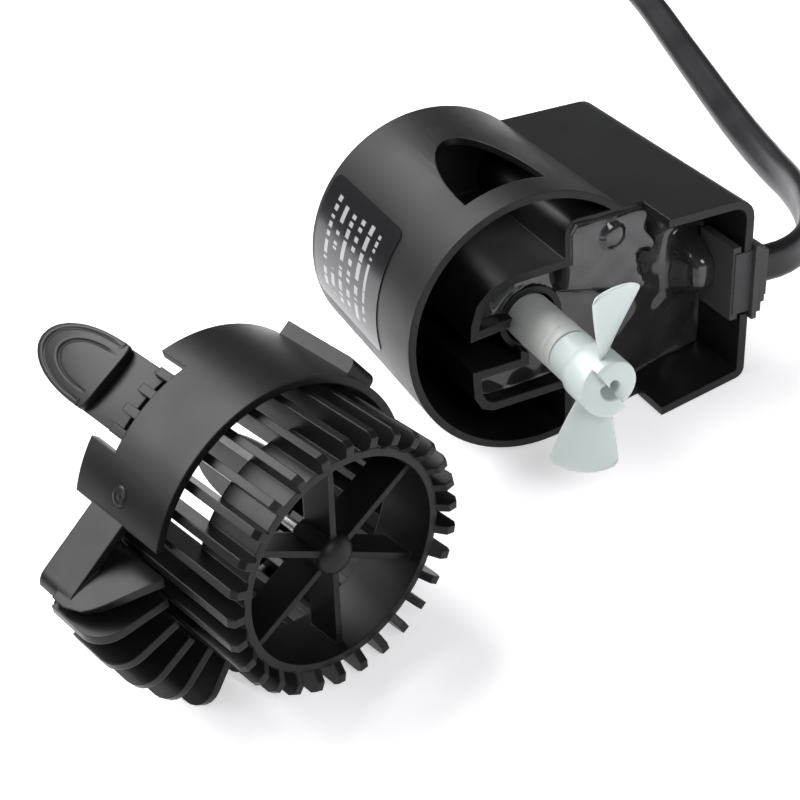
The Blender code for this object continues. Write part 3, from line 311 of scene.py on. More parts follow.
def remap(tree, value, low, high, start=0.0, end=1.0):
    """A value from start to end, carried evenly to the range from low to high."""
    values = {"Value": value, "From Min": start, "From Max": end, "To Min": low, "To Max": high}
    return node_in(tree, "ShaderNodeMapRange", values).outputs["Result"]


def tint(colour, gain, lift=0.0):
    """A colour multiplied and lifted, with its alpha."""
    return tuple(min(1.0, c * gain + lift) for c in colour) + (1.0,)


def skin_group():
    """Moulded skin: fine spark-eroded grain, slow changes of sheen and rounded edges, and masks of each."""
    group, given, result = new_group(
        "Moulded skin",
        [("Grain Size", "NodeSocketFloat", 0.25), ("Grain Height", "NodeSocketFloat", 0.2),
         ("Edge Radius", "NodeSocketFloat", 0.3)],
        [("Normal", "NodeSocketVector"), ("Sheen Map", "NodeSocketFloat"), ("Edge", "NodeSocketFloat"),
         ("Grain", "NodeSocketFloat")],
    )
    place = object_place(group)
    scale = maths(group, "DIVIDE", 1000.0, given.outputs["Grain Size"])
    grain = noise(group, place, Scale=scale, Detail=3.0, Roughness=0.6)
    radius = maths(group, "MULTIPLY", given.outputs["Edge Radius"], MM)
    bevel = node_in(group, "ShaderNodeBevel", {"Radius": radius}, samples=6).outputs["Normal"]
    flat = node_in(group, "ShaderNodeNewGeometry").outputs["Normal"]
    turn = node_in(group, "ShaderNodeVectorMath", {0: bevel, 1: flat}, operation="DOT_PRODUCT")
    bend = maths(group, "SUBTRACT", 1.0, turn.outputs["Value"])
    fill(group, result, {
        "Normal": bump(group, given.outputs["Grain Height"], 0.06, grain, Normal=bevel),
        "Sheen Map": noise(group, place, Scale=55.0, Detail=4.0, Roughness=0.55),
        "Edge": maths(group, "MULTIPLY", bend, 3.0, clamp=True),
        "Grain": grain,
    })
    return group


def handling_group():
    """Dust and handling marks: a mask of sparse specks and soft smears."""
    group, given, result = new_group(
        "Handling marks",
        [("Speck Size", "NodeSocketFloat", 1.2), ("Amount", "NodeSocketFloat", 0.5)],
        [("Specks", "NodeSocketFloat"), ("Smears", "NodeSocketFloat")],
    )
    place = object_place(group)
    amount = given.outputs["Amount"]
    scale = maths(group, "DIVIDE", 1000.0, given.outputs["Speck Size"])
    cells = node_in(group, "ShaderNodeTexVoronoi", {"Vector": place, "Scale": scale})
    near = maths(group, "LESS_THAN", cells.outputs["Distance"], 0.07)
    chosen = node_in(group, "ShaderNodeSeparateColor", {"Color": cells.outputs["Color"]})
    kept = maths(group, "GREATER_THAN", chosen.outputs["Red"], 0.86)
    smear = noise(group, place, Scale=120.0, Detail=5.0, Distortion=1.4)
    soft = maths(group, "SUBTRACT", smear, 0.52, clamp=True)
    soft = maths(group, "MULTIPLY", soft, 3.0, clamp=True)
    fill(group, result, {
        "Specks": maths(group, "MULTIPLY", maths(group, "MULTIPLY", near, kept), amount),
        "Smears": maths(group, "MULTIPLY", soft, amount),
    })
    return group


SKIN = skin_group()
HANDLING = handling_group()


def shader_of(name, colour, roughness, metallic=0.0, coat=0.0):
    made = bpy.data.materials.new(name)
    made.use_nodes = True
    tree = made.node_tree
    shader = fill(tree, tree.nodes["Principled BSDF"], {
        "Base Color": (*colour, 1.0), "Roughness": roughness, "Metallic": metallic, "Coat Weight": coat})
    return made, tree, shader


def skin_nodes(tree, size, height, edge_radius):
    values = {"Grain Size": size, "Grain Height": height, "Edge Radius": edge_radius}
    return node_in(tree, "ShaderNodeGroup", values, node_tree=SKIN).outputs


def handling_nodes(tree, size, amount):
    values = {"Speck Size": size, "Amount": amount}
    return node_in(tree, "ShaderNodeGroup", values, node_tree=HANDLING).outputs


def moulded_plastic(name, colour, roughness, grain=0.25, height=0.25, specks=0.4, shine=0.5):
    """Injection-moulded plastic: grain, uneven sheen, slightly paler rubbed edges and a few dust specks."""
    made, tree, shader = shader_of(name, colour, roughness)
    skin = skin_nodes(tree, grain, height, 0.35)
    marks = handling_nodes(tree, 1.6, specks)
    body = mixed_colour(tree, skin["Sheen Map"], tint(colour, 0.82), tint(colour, 1.25, 0.001))
    # Painted highlight: the edge mask lightens the colour along rounded edges, where they would catch the
    # light.
    body = mixed_colour(tree, maths(tree, "MULTIPLY", skin["Edge"], 0.9), body, tint(colour, 1.5, 0.014))
    body = mixed_colour(tree, marks["Specks"], body, tint(colour, 1.0, 0.07))
    sheen = remap(tree, skin["Sheen Map"], roughness - 0.07, roughness + 0.07, 0.3, 0.7)
    worn = maths(tree, "SUBTRACT", sheen, maths(tree, "MULTIPLY", marks["Smears"], 0.05))
    fill(tree, shader, {"Specular IOR Level": shine, "Base Color": body, "Roughness": worn,
                        "Normal": skin["Normal"]})
    return made


def soft_rubber(name, colour):
    """Rubber with a coarse, dry, dusty surface."""
    made, tree, shader = shader_of(name, colour, 0.75)
    skin = skin_nodes(tree, 0.45, 0.9, 0.25)
    marks = handling_nodes(tree, 0.9, 0.7)
    body = mixed_colour(tree, skin["Grain"], (*colour, 1.0), tint(colour, 1.9, 0.01))
    body = mixed_colour(tree, marks["Specks"], body, (0.2, 0.2, 0.2, 1.0))
    fill(tree, shader, {"Base Color": body, "Roughness": remap(tree, skin["Sheen Map"], 0.6, 0.9),
                        "Normal": skin["Normal"]})
    return made


def cast_resin(name, colour):
    """Potting resin: glossy, a little wavy, with dull patches where it has bled."""
    made, tree, shader = shader_of(name, colour, 0.12, coat=0.4)
    place = object_place(tree)
    wave = noise(tree, place, Scale=90.0, Detail=1.0, Distortion=0.4)
    patch = noise(tree, place, Scale=150.0, Detail=3.0, Distortion=1.2)
    fill(tree, shader, {"Coat Roughness": 0.05,
                        "Base Color": mixed_colour(tree, patch, (*colour, 1.0), tint(colour, 1.5, 0.01)),
                        "Roughness": remap(tree, patch, 0.07, 0.2, 0.42, 0.62),
                        "Normal": bump(tree, 0.3, 0.8, wave)})
    return made


def milky_plastic(name, colour, roughness, depth):
    """Unpigmented plastic that lets light in: subsurface scattering with a faint moulding bloom."""
    made, tree, shader = shader_of(name, colour, roughness)
    skin = skin_nodes(tree, 0.5, 0.12, 0.2)
    body = mixed_colour(tree, skin["Sheen Map"], tint(colour, 0.94), tint(colour, 1.05, 0.01))
    rough = remap(tree, skin["Sheen Map"], roughness - 0.08, roughness + 0.1)
    fill(tree, shader, {"Subsurface Weight": 0.45, "Subsurface Radius": (1.0, 1.0, 1.0),
                        "Subsurface Scale": depth, "Base Color": body, "Roughness": rough,
                        "Normal": skin["Normal"]})
    return made


def laminated_iron(name):
    """Stacked sheets seen on their edges: fine dark lines across the stack."""
    made, tree, shader = shader_of(name, (0.3, 0.3, 0.32), 0.45, metallic=1.0)
    lines = bands(tree, "Y", 320.0, 0.3)
    body = mixed_colour(tree, lines, (0.08, 0.075, 0.07, 1.0), (0.36, 0.36, 0.38, 1.0))
    fill(tree, shader, {"Base Color": body, "Normal": bump(tree, 0.5, 0.1, lines)})
    return made


def wound_copper(name):
    """Enamelled wire laid side by side: raised turns with darker gaps."""
    made, tree, shader = shader_of(name, (0.6, 0.26, 0.1), 0.3, metallic=1.0, coat=0.5)
    turns = bands(tree, "Z", 400.0, 0.6)
    body = mixed_colour(tree, turns, (0.14, 0.05, 0.02, 1.0), (0.7, 0.3, 0.13, 1.0))
    fill(tree, shader, {"Base Color": body, "Normal": bump(tree, 0.8, 0.15, turns)})
    return made


def bright_metal(name, colour, roughness):
    """Drawn or plated metal with fine rubbing marks."""
    made, tree, shader = shader_of(name, colour, roughness, metallic=1.0)
    skin = skin_nodes(tree, 0.2, 0.1, 0.15)
    body = mixed_colour(tree, skin["Sheen Map"], tint(colour, 0.8), (*colour, 1.0))
    rough = remap(tree, skin["Sheen Map"], roughness - 0.08, roughness + 0.12)
    fill(tree, shader, {"Base Color": body, "Roughness": rough, "Normal": skin["Normal"]})
    return made


def printed_film(name):
    """Glossy black label film with plain pale bars where print would be. It reads the label's own UV map, where
    X runs round the barrel and Y along it."""
    film = (0.006, 0.006, 0.007)
    made, tree, shader = shader_of(name, film, 0.22, coat=0.1)
    where = node_in(tree, "ShaderNodeUVMap", uv_map="label").outputs["UV"]
    axes = node_in(tree, "ShaderNodeSeparateXYZ", {"Vector": where})
    along, across = axes.outputs["X"], axes.outputs["Y"]
    rows = maths(tree, "MULTIPLY", across, 8.0)
    bar = near_to(tree, maths(tree, "FRACT", rows), 0.5, 0.2)
    shift = maths(tree, "MULTIPLY", maths(tree, "FLOOR", rows), 7.3)
    spread = node_in(tree, "ShaderNodeCombineXYZ", {"X": maths(tree, "MULTIPLY", along, 26.0), "Y": shift})
    dash = noise(tree, spread.outputs[0], Scale=1.0, Detail=0.0)
    broken = maths(tree, "GREATER_THAN", dash, 0.47)
    margin = maths(tree, "MULTIPLY", near_to(tree, along, 0.5, 0.38), near_to(tree, across, 0.46, 0.36))
    mask = maths(tree, "MULTIPLY", maths(tree, "MULTIPLY", bar, broken), margin)
    wrinkle = noise(tree, object_place(tree), Scale=90.0, Detail=2.0)
    fill(tree, shader, {"Coat Roughness": 0.12, "Specular IOR Level": 0.3,
                        "Base Color": mixed_colour(tree, mask, (*film, 1.0), (0.3, 0.3, 0.31, 1.0)),
                        "Normal": bump(tree, 0.15, 0.4, wrinkle)})
    return made


FINISH = {}


def mix_finishes():
    """Every finish of the pump, once, in the colours that the panel holds."""
    looks = bpy.context.scene.wave_pump_looks
    black, cord = tuple(looks.plastic_colour), tuple(looks.cord_colour)
    darker = tuple(c * 0.9 for c in black)
    pale_blue = tuple(looks.propeller_colour)
    FINISH["black"] = moulded_plastic("black moulded plastic", black, 0.42, shine=0.26)
    FINISH["black_cover"] = moulded_plastic("black cover plastic", darker, 0.36, height=0.2, shine=0.2)
    FINISH["rubber"] = soft_rubber("black gland rubber", (0.022, 0.022, 0.023))
    FINISH["resin"] = cast_resin("potting resin", tuple(looks.resin_colour))
    FINISH["cream"] = milky_plastic("cream rotor sleeve", (0.5, 0.52, 0.5), 0.42, 0.4 * MM)
    FINISH["clear_blue"] = milky_plastic("pale propeller plastic", pale_blue, 0.34, 1.2 * MM)
    FINISH["iron"] = laminated_iron("laminated core")
    FINISH["copper"] = wound_copper("enamelled winding")
    FINISH["nylon"] = moulded_plastic("natural nylon", (0.66, 0.63, 0.55), 0.5, specks=0.1)
    FINISH["brown"] = moulded_plastic("brown lead", (0.16, 0.07, 0.03), 0.4, specks=0.1)
    FINISH["blue"] = moulded_plastic("blue lead", (0.03, 0.1, 0.36), 0.4, specks=0.1)
    FINISH["film"] = printed_film("label film")
    FINISH["ceramic"] = moulded_plastic("white ceramic", (0.8, 0.79, 0.75), 0.2, height=0.05, specks=0.0)
    FINISH["steel"] = bright_metal("pin steel", (0.68, 0.68, 0.7), 0.25)
    FINISH["brass"] = bright_metal("plated brass", (0.72, 0.68, 0.56), 0.25)
    FINISH["pvc"] = moulded_plastic("cord PVC", cord, 0.34, grain=0.5, height=0.1, specks=0.3, shine=0.3)


# ------------------------------------------------------------------ motor unit


def build_motor_body():
    """The housing with its core, winding and bushes; each comes from its CAD node."""
    moulded("housing", "motor_housing", FINISH["black"], "motor")
    moulded("gland", "cord_gland", FINISH["rubber"], "motor", 30)
    moulded("core", "stator_core", FINISH["iron"], "motor")
    moulded("bobbin", "coil_bobbin", FINISH["nylon"], "motor")
    moulded("winding", "coil_winding", FINISH["copper"], "motor")
    moulded("bush", "rear_bush", FINISH["rubber"], "motor")
    moulded("live_lead", "lead_wire_live", FINISH["brown"], "motor", 60)
    moulded("neutral_lead", "lead_wire_neutral", FINISH["blue"], "motor", 60)
    under_the_face = MOTOR[0] + 38.0 * MM * MOTOR[3]
    moulded("resin_block", "potting_resin", FINISH["resin"], "motor", keep=(under_the_face, -MOTOR[3]))


LABEL_ANGLE = 165.5
LABEL_HALF = 28.0
LABEL_MIDDLE = 17.2
LABEL_LENGTH = 29.6


def build_label():
    """Label film: a (angle) and b (s) in [-1, 1] are squeezed towards a rounded rectangle, then wrapped round
    the barrel at its radius plus the film's lift."""
    a, b = np.meshgrid(np.linspace(-1, 1, 49), np.linspace(-1, 1, 33), indexing="ij")
    corner = 0.16
    reach = np.maximum(np.abs(a), np.abs(b))
    bulge = np.clip((np.minimum(np.abs(a), np.abs(b)) - (1 - corner)) / corner, 0, 1)
    shrink = 1 - 0.045 * bulge**2 * reach**8
    angle = np.radians(LABEL_ANGLE + LABEL_HALF * a * shrink)
    s = (LABEL_MIDDLE + LABEL_LENGTH / 2 * b * shrink) * MM
    faces_at = (BARREL_RADIUS + 0.06 * MM, BARREL_RADIUS + 0.16 * MM)
    sheets = [placed(MOTOR, r * np.cos(angle), r * np.sin(angle), s) for r in faces_at]
    rows, columns = a.shape
    inner = grid_faces(rows, columns, False, False)
    outer = inner[:, ::-1] + rows * columns
    rim = np.concatenate([np.arange(columns), np.arange(1, rows) * columns + columns - 1,
                          (rows - 1) * columns + np.arange(columns - 2, -1, -1),
                          np.arange(rows - 2, 0, -1) * columns])
    after = np.roll(rim, -1)
    sides = np.stack([rim, after, after + rows * columns, rim + rows * columns], -1)
    made = mesh_object("label", np.stack(sheets), np.concatenate([inner, outer, sides]), FINISH["film"])
    layer = made.data.uv_layers.new(name="label")
    origin, out, across, forward = MOTOR
    local = read(made.data.vertices, "co", 3) - origin
    turn = np.degrees(np.arctan2(local @ across, local @ out)) % 360
    share_round = (turn - LABEL_ANGLE) / (2 * LABEL_HALF)
    share_along = (local @ forward / MM - LABEL_MIDDLE) / LABEL_LENGTH
    flat = np.stack([share_round, share_along], -1) + 0.5
    corners = read(made.data.loops, "vertex_index", 1, np.int32)
    layer.data.foreach_set("uv", flat[corners].ravel())
    settle(made, "motor", "label_sticker")


def pocket_distance(u, v, outline):
    """For each point, the distance to a closed outline, and whether the point is inside it."""
    start = np.array(outline, float)
    along = np.roll(start, -1, 0) - start
    p = np.stack([u, v], -1)[..., None, :]
    share = np.clip(((p - start) * along).sum(-1) / (along**2).sum(-1), 0, 1)
    distance = np.linalg.norm(p - start - share[..., None] * along, axis=-1).min(-1)
    low = (start[:, 1] <= v[..., None]) != (np.roll(start, -1, 0)[:, 1] <= v[..., None])
    height = np.where(along[:, 1] == 0, 1e-12, along[:, 1])
    cross = start[:, 0] + (v[..., None] - start[:, 1]) / height * along[:, 0]
    inside = (low & (u[..., None] < cross)).sum(-1) % 2 == 1
    return distance, inside


def build_resin_surface():
    """The poured face. Its height over (u, v), in millimetres, is a level that falls towards the gland, a
    flush field, a mound over the leads, a lip where it climbs the walls, a bubble, holes and a slow ripple."""
    outline = [(37.4, -16.9), (37.4, 14.9), (35.2, 17.4), (7.4, 17.4), (6.4, 15.6), (6.4, 10.1), (-4.6, 9.9),
               (-8.4, 8.8), (-11.2, 6.2), (-12.3, 3.0), (-12.3, 0.8), (-2.6, 1.7), (-2.6, -7.1),
               (-12.3, -7.1), (-12.1, -11.2), (-10.7, -13.5), (-9.0, -14.4), (6.4, -14.1), (6.4, -22.6)]
    step = 0.45
    u, v = np.meshgrid(np.arange(-13.2, 38.4, step), np.arange(-23.2, 18.4, step), indexing="ij")
    distance, inside = pocket_distance(u, v, outline)
    radius = np.hypot(u, v)
    near_well = radius - 6.2
    edge_line = 22.6 + 2.2 * np.exp(-(((v - 10.5) / 3.2) ** 2)) + 0.9 * np.sin(v * 0.9)
    flush = 1 / (1 + np.exp((u - edge_line) / 0.35)) / (1 + np.exp(-(v - 2.0 + 0.25 * (u - 14)) / 0.35))
    flush = flush / (1 + np.exp(-(u - 5.6) / 0.3))
    level = 41.6 + 0.5 * np.exp(-(((u + 5) / 6) ** 2)) - 1.2 / (1 + np.exp(-(u - 24.0) / 1.2))
    height = level + (45.1 - level) * flush
    height = height + 7.6 * np.exp(-(((u - 34.0) / 3.6) ** 4) - ((v - 1.6) / 5.2) ** 4) * (1 - flush)
    height = height + 0.75 * np.exp(-distance / 0.8) + 0.5 * np.exp(-np.maximum(near_well, 0) / 0.8)
    bubble = np.hypot(u - 15.2, v - 13.4)
    height = height + 1.3 * np.sqrt(np.clip(1 - (bubble / 2.5) ** 2, 0, None))
    hole = np.minimum(np.hypot(u - 21.8, v - 7.6) / 1.15, np.hypot((u - 22.3) / 0.6, (v - 5.2) / 2.0))
    height = height - 2.6 / (1 + np.exp((hole - 1) / 0.12))
    height = height + 0.10 * np.sin(u * 0.9 + 0.6 * np.sin(v * 0.5)) * np.sin(v * 0.8)
    wanted = (inside | (distance < 0.6)) & (radius > 5.65)
    rows, columns = u.shape
    quads = grid_faces(rows, columns, False, False)
    kept = quads[wanted.ravel()[quads].all(1)]
    top = placed(MOTOR, u * MM, v * MM, height * MM)
    used, index = np.unique(kept, return_inverse=True)
    made = mesh_object("resin_face", top.reshape(-1, 3)[used], index.reshape(-1, 4), FINISH["resin"])
    facing = read(made.data.polygons, "normal", 3) @ MOTOR[3]
    if facing.mean() < 0:
        made.data.flip_normals()
    wall = made.modifiers.new("thickness", "SOLIDIFY")
    wall.thickness = 0.8 * MM
    wall.offset = -1.0
    settle(made, "motor")


GATE_ANGLE = -63.3
GATE_S = 10.9 * MM
GATE_RADIUS = 1.9 * MM


def build_gate_mark():
    """The moulding gate on the cover's ring: a rough disc whose height is a bump ring plus a fixed ripple."""
    rings, steps = 12, 48
    turns = np.linspace(0, TAU, steps, endpoint=False)
    radius, turn = np.meshgrid(np.linspace(0, 1, rings), turns, indexing="ij")
    ripple = 0.05 * np.sin(5 * turn + 4 * radius) + 0.05 * np.cos(7 * turn - 9 * radius)
    lift = (0.16 * np.clip(1 - radius**6, 0, 1) * (1 + ripple) + 0.04 * np.cos(9 * radius)) * MM
    lift = np.where(radius >= 0.999, -0.05 * MM, lift)
    angle = np.radians(GATE_ANGLE) + radius * GATE_RADIUS * np.cos(turn) / BARREL_RADIUS
    s = GATE_S + radius * GATE_RADIUS * np.sin(turn)
    r = BARREL_RADIUS + lift
    grid = placed(COVER, r * np.cos(angle), r * np.sin(angle), s)
    rim = range((rings - 1) * steps, rings * steps)
    made = mesh_object("gate_mark", grid, grid_faces(rings, steps, False, True), FINISH["black_cover"], [rim])
    settle(made, "cover")


# ------------------------------------------------------------------ rotor and propeller


SLEEVE_RADIUS = 4.45
SLEEVE_BORE = 1.3
HUB_RADIUS = 5.2
RAMP_START = 126.0
BLADE_ANGLE = 79.0


def build_rotor():
    """The rotor's sleeve is a profile turned round the shaft, with rounded ends and a shallow groove. The
    other pieces come from their CAD nodes."""
    back, front = node_depths("rotor_magnet")
    groove = SLEEVE_RADIUS - 0.15
    sleeve = rounded([(SLEEVE_BORE, back), (SLEEVE_RADIUS, back), (SLEEVE_RADIUS, front - 2.6),
                      (groove, front - 2.4), (groove, front - 1.8), (SLEEVE_RADIUS, front - 1.6),
                      (SLEEVE_RADIUS, front), (SLEEVE_BORE, front)], 0.35)
    made = revolved("rotor_sleeve", MOTOR, sleeve * MM, FINISH["cream"])
    settle(made, "rotor", "rotor_magnet")
    moulded("coupling", "rotor_coupling", FINISH["clear_blue"], "rotor")
    moulded("shaft", "rotor_shaft", FINISH["ceramic"], "shaft")
    moulded("washer", "thrust_washer", FINISH["nylon"], "shaft")


def node_depths(node):
    """A motor node's back and front along the shaft, in millimetres."""
    low, high = corners_of(node)
    return (MOTOR[0][1] - high[1]) / MM, (MOTOR[0][1] - low[1]) / MM


def build_propeller():
    """Hub and two blades. The hub's front is two ramps: its height climbs evenly over half a turn, then steps
    back. Its bore is a round hole with a notch, and its rear takes the coupling."""
    steps = 180
    turn = np.linspace(0, TAU, steps, endpoint=False)
    back = node_depths("propeller")[0]
    phase = (np.degrees(turn) - RAMP_START) % 180.0
    front = back + 6.4 + 1.45 * phase / 180.0 * np.minimum(1.0, phase / 2.0)
    notch = np.exp(-(((np.degrees(turn) - RAMP_START - 8.0 + 180) % 360 - 180) / 26.0) ** 2)
    hole = 1.75 - 0.9 * notch + 0.3 * np.cos(turn - math.radians(RAMP_START + 180))
    ones = np.ones(steps)
    rings = [(0.02, back + 2.5), (4.05, back + 2.5), (4.05, back), (4.9, back), (5.15, back + 0.3),
             (HUB_RADIUS, back + 1.7), (HUB_RADIUS, front - 0.5), (5.1, front - 0.15), (4.85, front),
             (3.4, front), (hole + 0.25, front), (hole, front - 0.3), (hole, back + 4.0),
             (hole * 0.9, back + 3.6), (0.02, back + 3.6)]
    r = np.stack([radius * ones for radius, _ in rings], 1)
    s = np.stack([depth * ones for _, depth in rings], 1)
    grid = placed(MOTOR, r * np.cos(turn)[:, None] * MM, r * np.sin(turn)[:, None] * MM, s * MM)
    columns = grid.shape[1]
    rear = np.arange(steps) * columns
    caps = [rear, rear + columns - 1]
    faces = grid_faces(steps, columns, True, False)
    hub = mesh_object("propeller_hub", grid, faces, FINISH["clear_blue"], caps)
    settle(hub, "propeller", "propeller")
    for index in (0, 1):
        blade = propeller_blade(index, back)
        settle(blade, "propeller")


def propeller_blade(index, back):
    """A flat elliptical section carried from root to tip. Across it the depth climbs with the angle, most
    steeply at the root, and it thins towards the tip and both edges."""
    share, around = np.meshgrid(np.linspace(0, 1, 48), np.linspace(0, TAU, 80, endpoint=False), indexing="ij")
    root, tip = 4.4, 17.4
    radius = root + (tip - root) * share
    half = 24.0 - 3.5 * share
    across = np.sign(np.cos(around)) * np.abs(np.cos(around)) ** 0.8
    corner = np.clip((np.abs(across) - 0.8) / 0.2, 0, 1) ** 2 * np.clip((share - 0.9) / 0.1, 0, 1) ** 2
    radius = radius * (1 - 0.03 * share**4 * across**2) - 0.9 * corner
    climb = 2.2 - 0.2 * share
    slope = np.arctan2(climb, radius * np.radians(half))
    lift = (0.6 - 0.3 * share) * np.sin(around)
    turn = np.radians(BLADE_ANGLE + 180.0 * index + half * across) - np.sin(slope) * lift / radius
    bow = 0.7 * (across**2 - 0.4) * share
    s = back + 3.5 + 0.6 * share**2 + climb * across + np.cos(slope) * lift - bow
    grid = placed(MOTOR, radius * np.cos(turn) * MM, radius * np.sin(turn) * MM, s * MM)
    return loft(f"propeller_blade_{index + 1}", grid, FINISH["clear_blue"])


# ------------------------------------------------------------------ cover


def build_cover():
    """Ring, louvre and cage from their CAD nodes, the pin, and the gate mark."""
    moulded("cover_ring", "cover_shell", FINISH["black_cover"], "cover")
    moulded("nozzle_cage", "guard_cage", FINISH["black_cover"], "cover")
    moulded("nose_pin", "front_pin", FINISH["steel"], "cover")
    build_gate_mark()


def leaf_surface(name, centre):
    """Latch leaf from (rho, phi): across = half width x rho cos phi, along = length x (rho sin phi)^0.87.
    Rings of equal rho then follow the leaf's outline: two carry grooves, and the outermost is rounded off."""
    rings, turns = 66, 120
    rho = np.linspace(0, 1, rings)
    phi = np.linspace(0, TAU, turns, endpoint=False)
    top_rho, top_phi = np.meshgrid(rho, phi, indexing="ij")
    half_width, length, tail = 6.5 * MM, 18.9 * MM, 2.2 * MM

    def surface_points(rho, phi, lift):
        x = half_width * rho * np.cos(phi) * (1 + 0.06 * np.sin(phi).clip(0, 1))
        y = rho * np.sin(phi)
        along = np.where(y > 0, length * np.abs(y) ** 0.87, tail * y)
        share = np.clip(along / length, 0, 1)
        crown = 24.9 * MM - 1.5 * MM * share**2
        radius = crown - 0.9 * MM * (x / half_width) ** 2 * 0.4 + lift
        angle = np.radians(centre) + x / (24.2 * MM)
        return placed(COVER, radius * np.cos(angle), radius * np.sin(angle), -6.6 * MM - along)

    def groove(rho, at, width):
        return np.exp(-(((rho - at) / width) ** 2))

    forward_part = 1 / (1 + np.exp(-(np.sin(top_phi) - 0.12) / 0.05))
    relief = (-0.42 * groove(top_rho, 0.85, 0.022) - 0.42 * groove(top_rho, 0.58, 0.024)) * forward_part
    rim = -0.5 * np.clip((top_rho - 0.955) / 0.045, 0, 1) ** 2
    top = surface_points(top_rho, top_phi, (relief + rim) * MM)
    under_rho, under_phi = np.meshgrid(np.linspace(1, 0, 14), phi, indexing="ij")
    under = surface_points(under_rho, under_phi, -(2.0 - 0.6 * under_rho) * MM)
    grid = np.concatenate([top, under])
    return mesh_object(name, grid, grid_faces(len(grid), turns, False, True), FINISH["black_cover"])


LATCH_ANGLE = 95.5


def build_latches():
    """Each latch is its CAD node's stem and straps, with a finely shaped leaf over it."""
    behind = COVER[0] - 7.4 * MM * COVER[3]
    for name, centre in (("latch_upper", -LATCH_ANGLE), ("latch_lower", LATCH_ANGLE)):
        moulded(name + "_stem", name, FINISH["black_cover"], name, keep=(behind, COVER[3]))
        leaf = leaf_surface(name + "_leaf", centre)
        settle(leaf, name)


# ------------------------------------------------------------------ cord and plug


def smooth_path(knots, spacing):
    """Evenly spaced points on a Catmull-Rom curve, every span's cubic from one matrix product."""
    knots = np.array(knots, float)
    knots = np.vstack([2 * knots[0] - knots[1], knots, 2 * knots[-1] - knots[-2]])
    basis = 0.5 * np.array([[0, 2, 0, 0], [-1, 0, 1, 0], [2, -5, 4, -1], [-1, 3, -3, 1]], float)
    t = np.linspace(0, 1, 24, endpoint=False)
    powers = np.stack([t**0, t, t**2, t**3], 1)
    spans = np.stack([knots[i : len(knots) - 3 + i] for i in range(4)], 1)
    fine = np.einsum("tp,pk,skc->stc", powers, basis, spans).reshape(-1, knots.shape[1])
    fine = np.vstack([fine, knots[-2]])
    steps = np.linalg.norm(np.diff(fine[:, :3], axis=0), axis=1)
    length = np.concatenate([[0], np.cumsum(steps)])
    even = np.linspace(0, length[-1], max(2, int(round(length[-1] / spacing))) + 1)
    return np.stack([np.interp(even, length, fine[:, i]) for i in range(fine.shape[1])], 1)


CORD_EXIT = (43.3, 1.6, 49.05)
PLUG_LENGTH = 34.0
PIN_LENGTH = 19.0


def cord_route():
    """Knots (x, y, z, tilt) from the gland, through the coil, to the plug, where tilt is the angle of the
    wide side from upright, in radians. Also the start, and the plug's heading and back."""
    lean = math.radians(BOX_LEAN)
    out = np.array([math.cos(lean), 0, -math.sin(lean)])
    start = placed(MOTOR, *(np.array(distance * MM) for distance in CORD_EXIT))
    knots = [(*start, 0.0), (*(start + out * 6 * MM), 0.0),
             (*(start + out * 12 * MM + [0, 2.6 * MM, 0]), 0.02)]
    bends = np.array([(60.6, -39.7, 13.6), (66.1, -31.1, 12.2), (70.9, -20.2, 10.4), (75.2, -6.5, 8.4),
                      (82.8, 17.0, 5.9), (95.6, 55.8, 3.9), (106.6, 89.8, 3.0), (111.6, 110.0, 3.2),
                      (115.3, 131.0, 3.6)]) * MM
    bends[:, :2] += MOTOR[0][:2]
    tilt = np.array([0.1, 0.25, 0.45, 0.7, 0.95, 1.1, 1.1, 0.8, 0.4])
    knots += [(*point, turn) for point, turn in zip(bends, tilt)]
    middle = corners_of("cord_coil").mean(0)
    entry, end = 150.0, 28.0
    total = 360.0 * bpy.context.scene.wave_pump_looks.coil_turns + (entry - end)
    angle = np.radians(entry - np.linspace(0, total, int(total / 12)))
    share = np.linspace(0, 1, len(angle))
    outer, inner = 45.6 * MM, 36.2 * MM
    radius = inner + (outer - inner) * np.abs(2 * share - 1)
    height = (5.6 + 7.6 / (1 + np.exp(-(share - 0.5) * 60))) * MM
    turns = np.stack([middle[0] + radius * np.cos(angle), middle[1] + radius * np.sin(angle), height,
                      np.zeros(len(angle))], 1)
    pins = [corners_of(f"plug_pin_{side}").mean(0) for side in ("live", "neutral")]
    across = pins[0] - pins[1]
    heading = np.array([across[1], -across[0], 0.0])
    heading /= np.linalg.norm(heading)
    if heading @ (pins[0] - corners_of("plug_body").mean(0)) < 0:
        heading = -heading
    back = (pins[0] + pins[1]) / 2 - heading * (PIN_LENGTH / 2 + 0.3 + PLUG_LENGTH) * MM
    tail = [(*(back - heading * 24 * MM + [0, 0, 3.0 * MM]), 0.4), (*(back - heading * 10 * MM), 1.2),
            (*(back - heading * 0.4 * MM), 1.5)]
    return np.vstack([knots, turns, tail]), start, heading, back


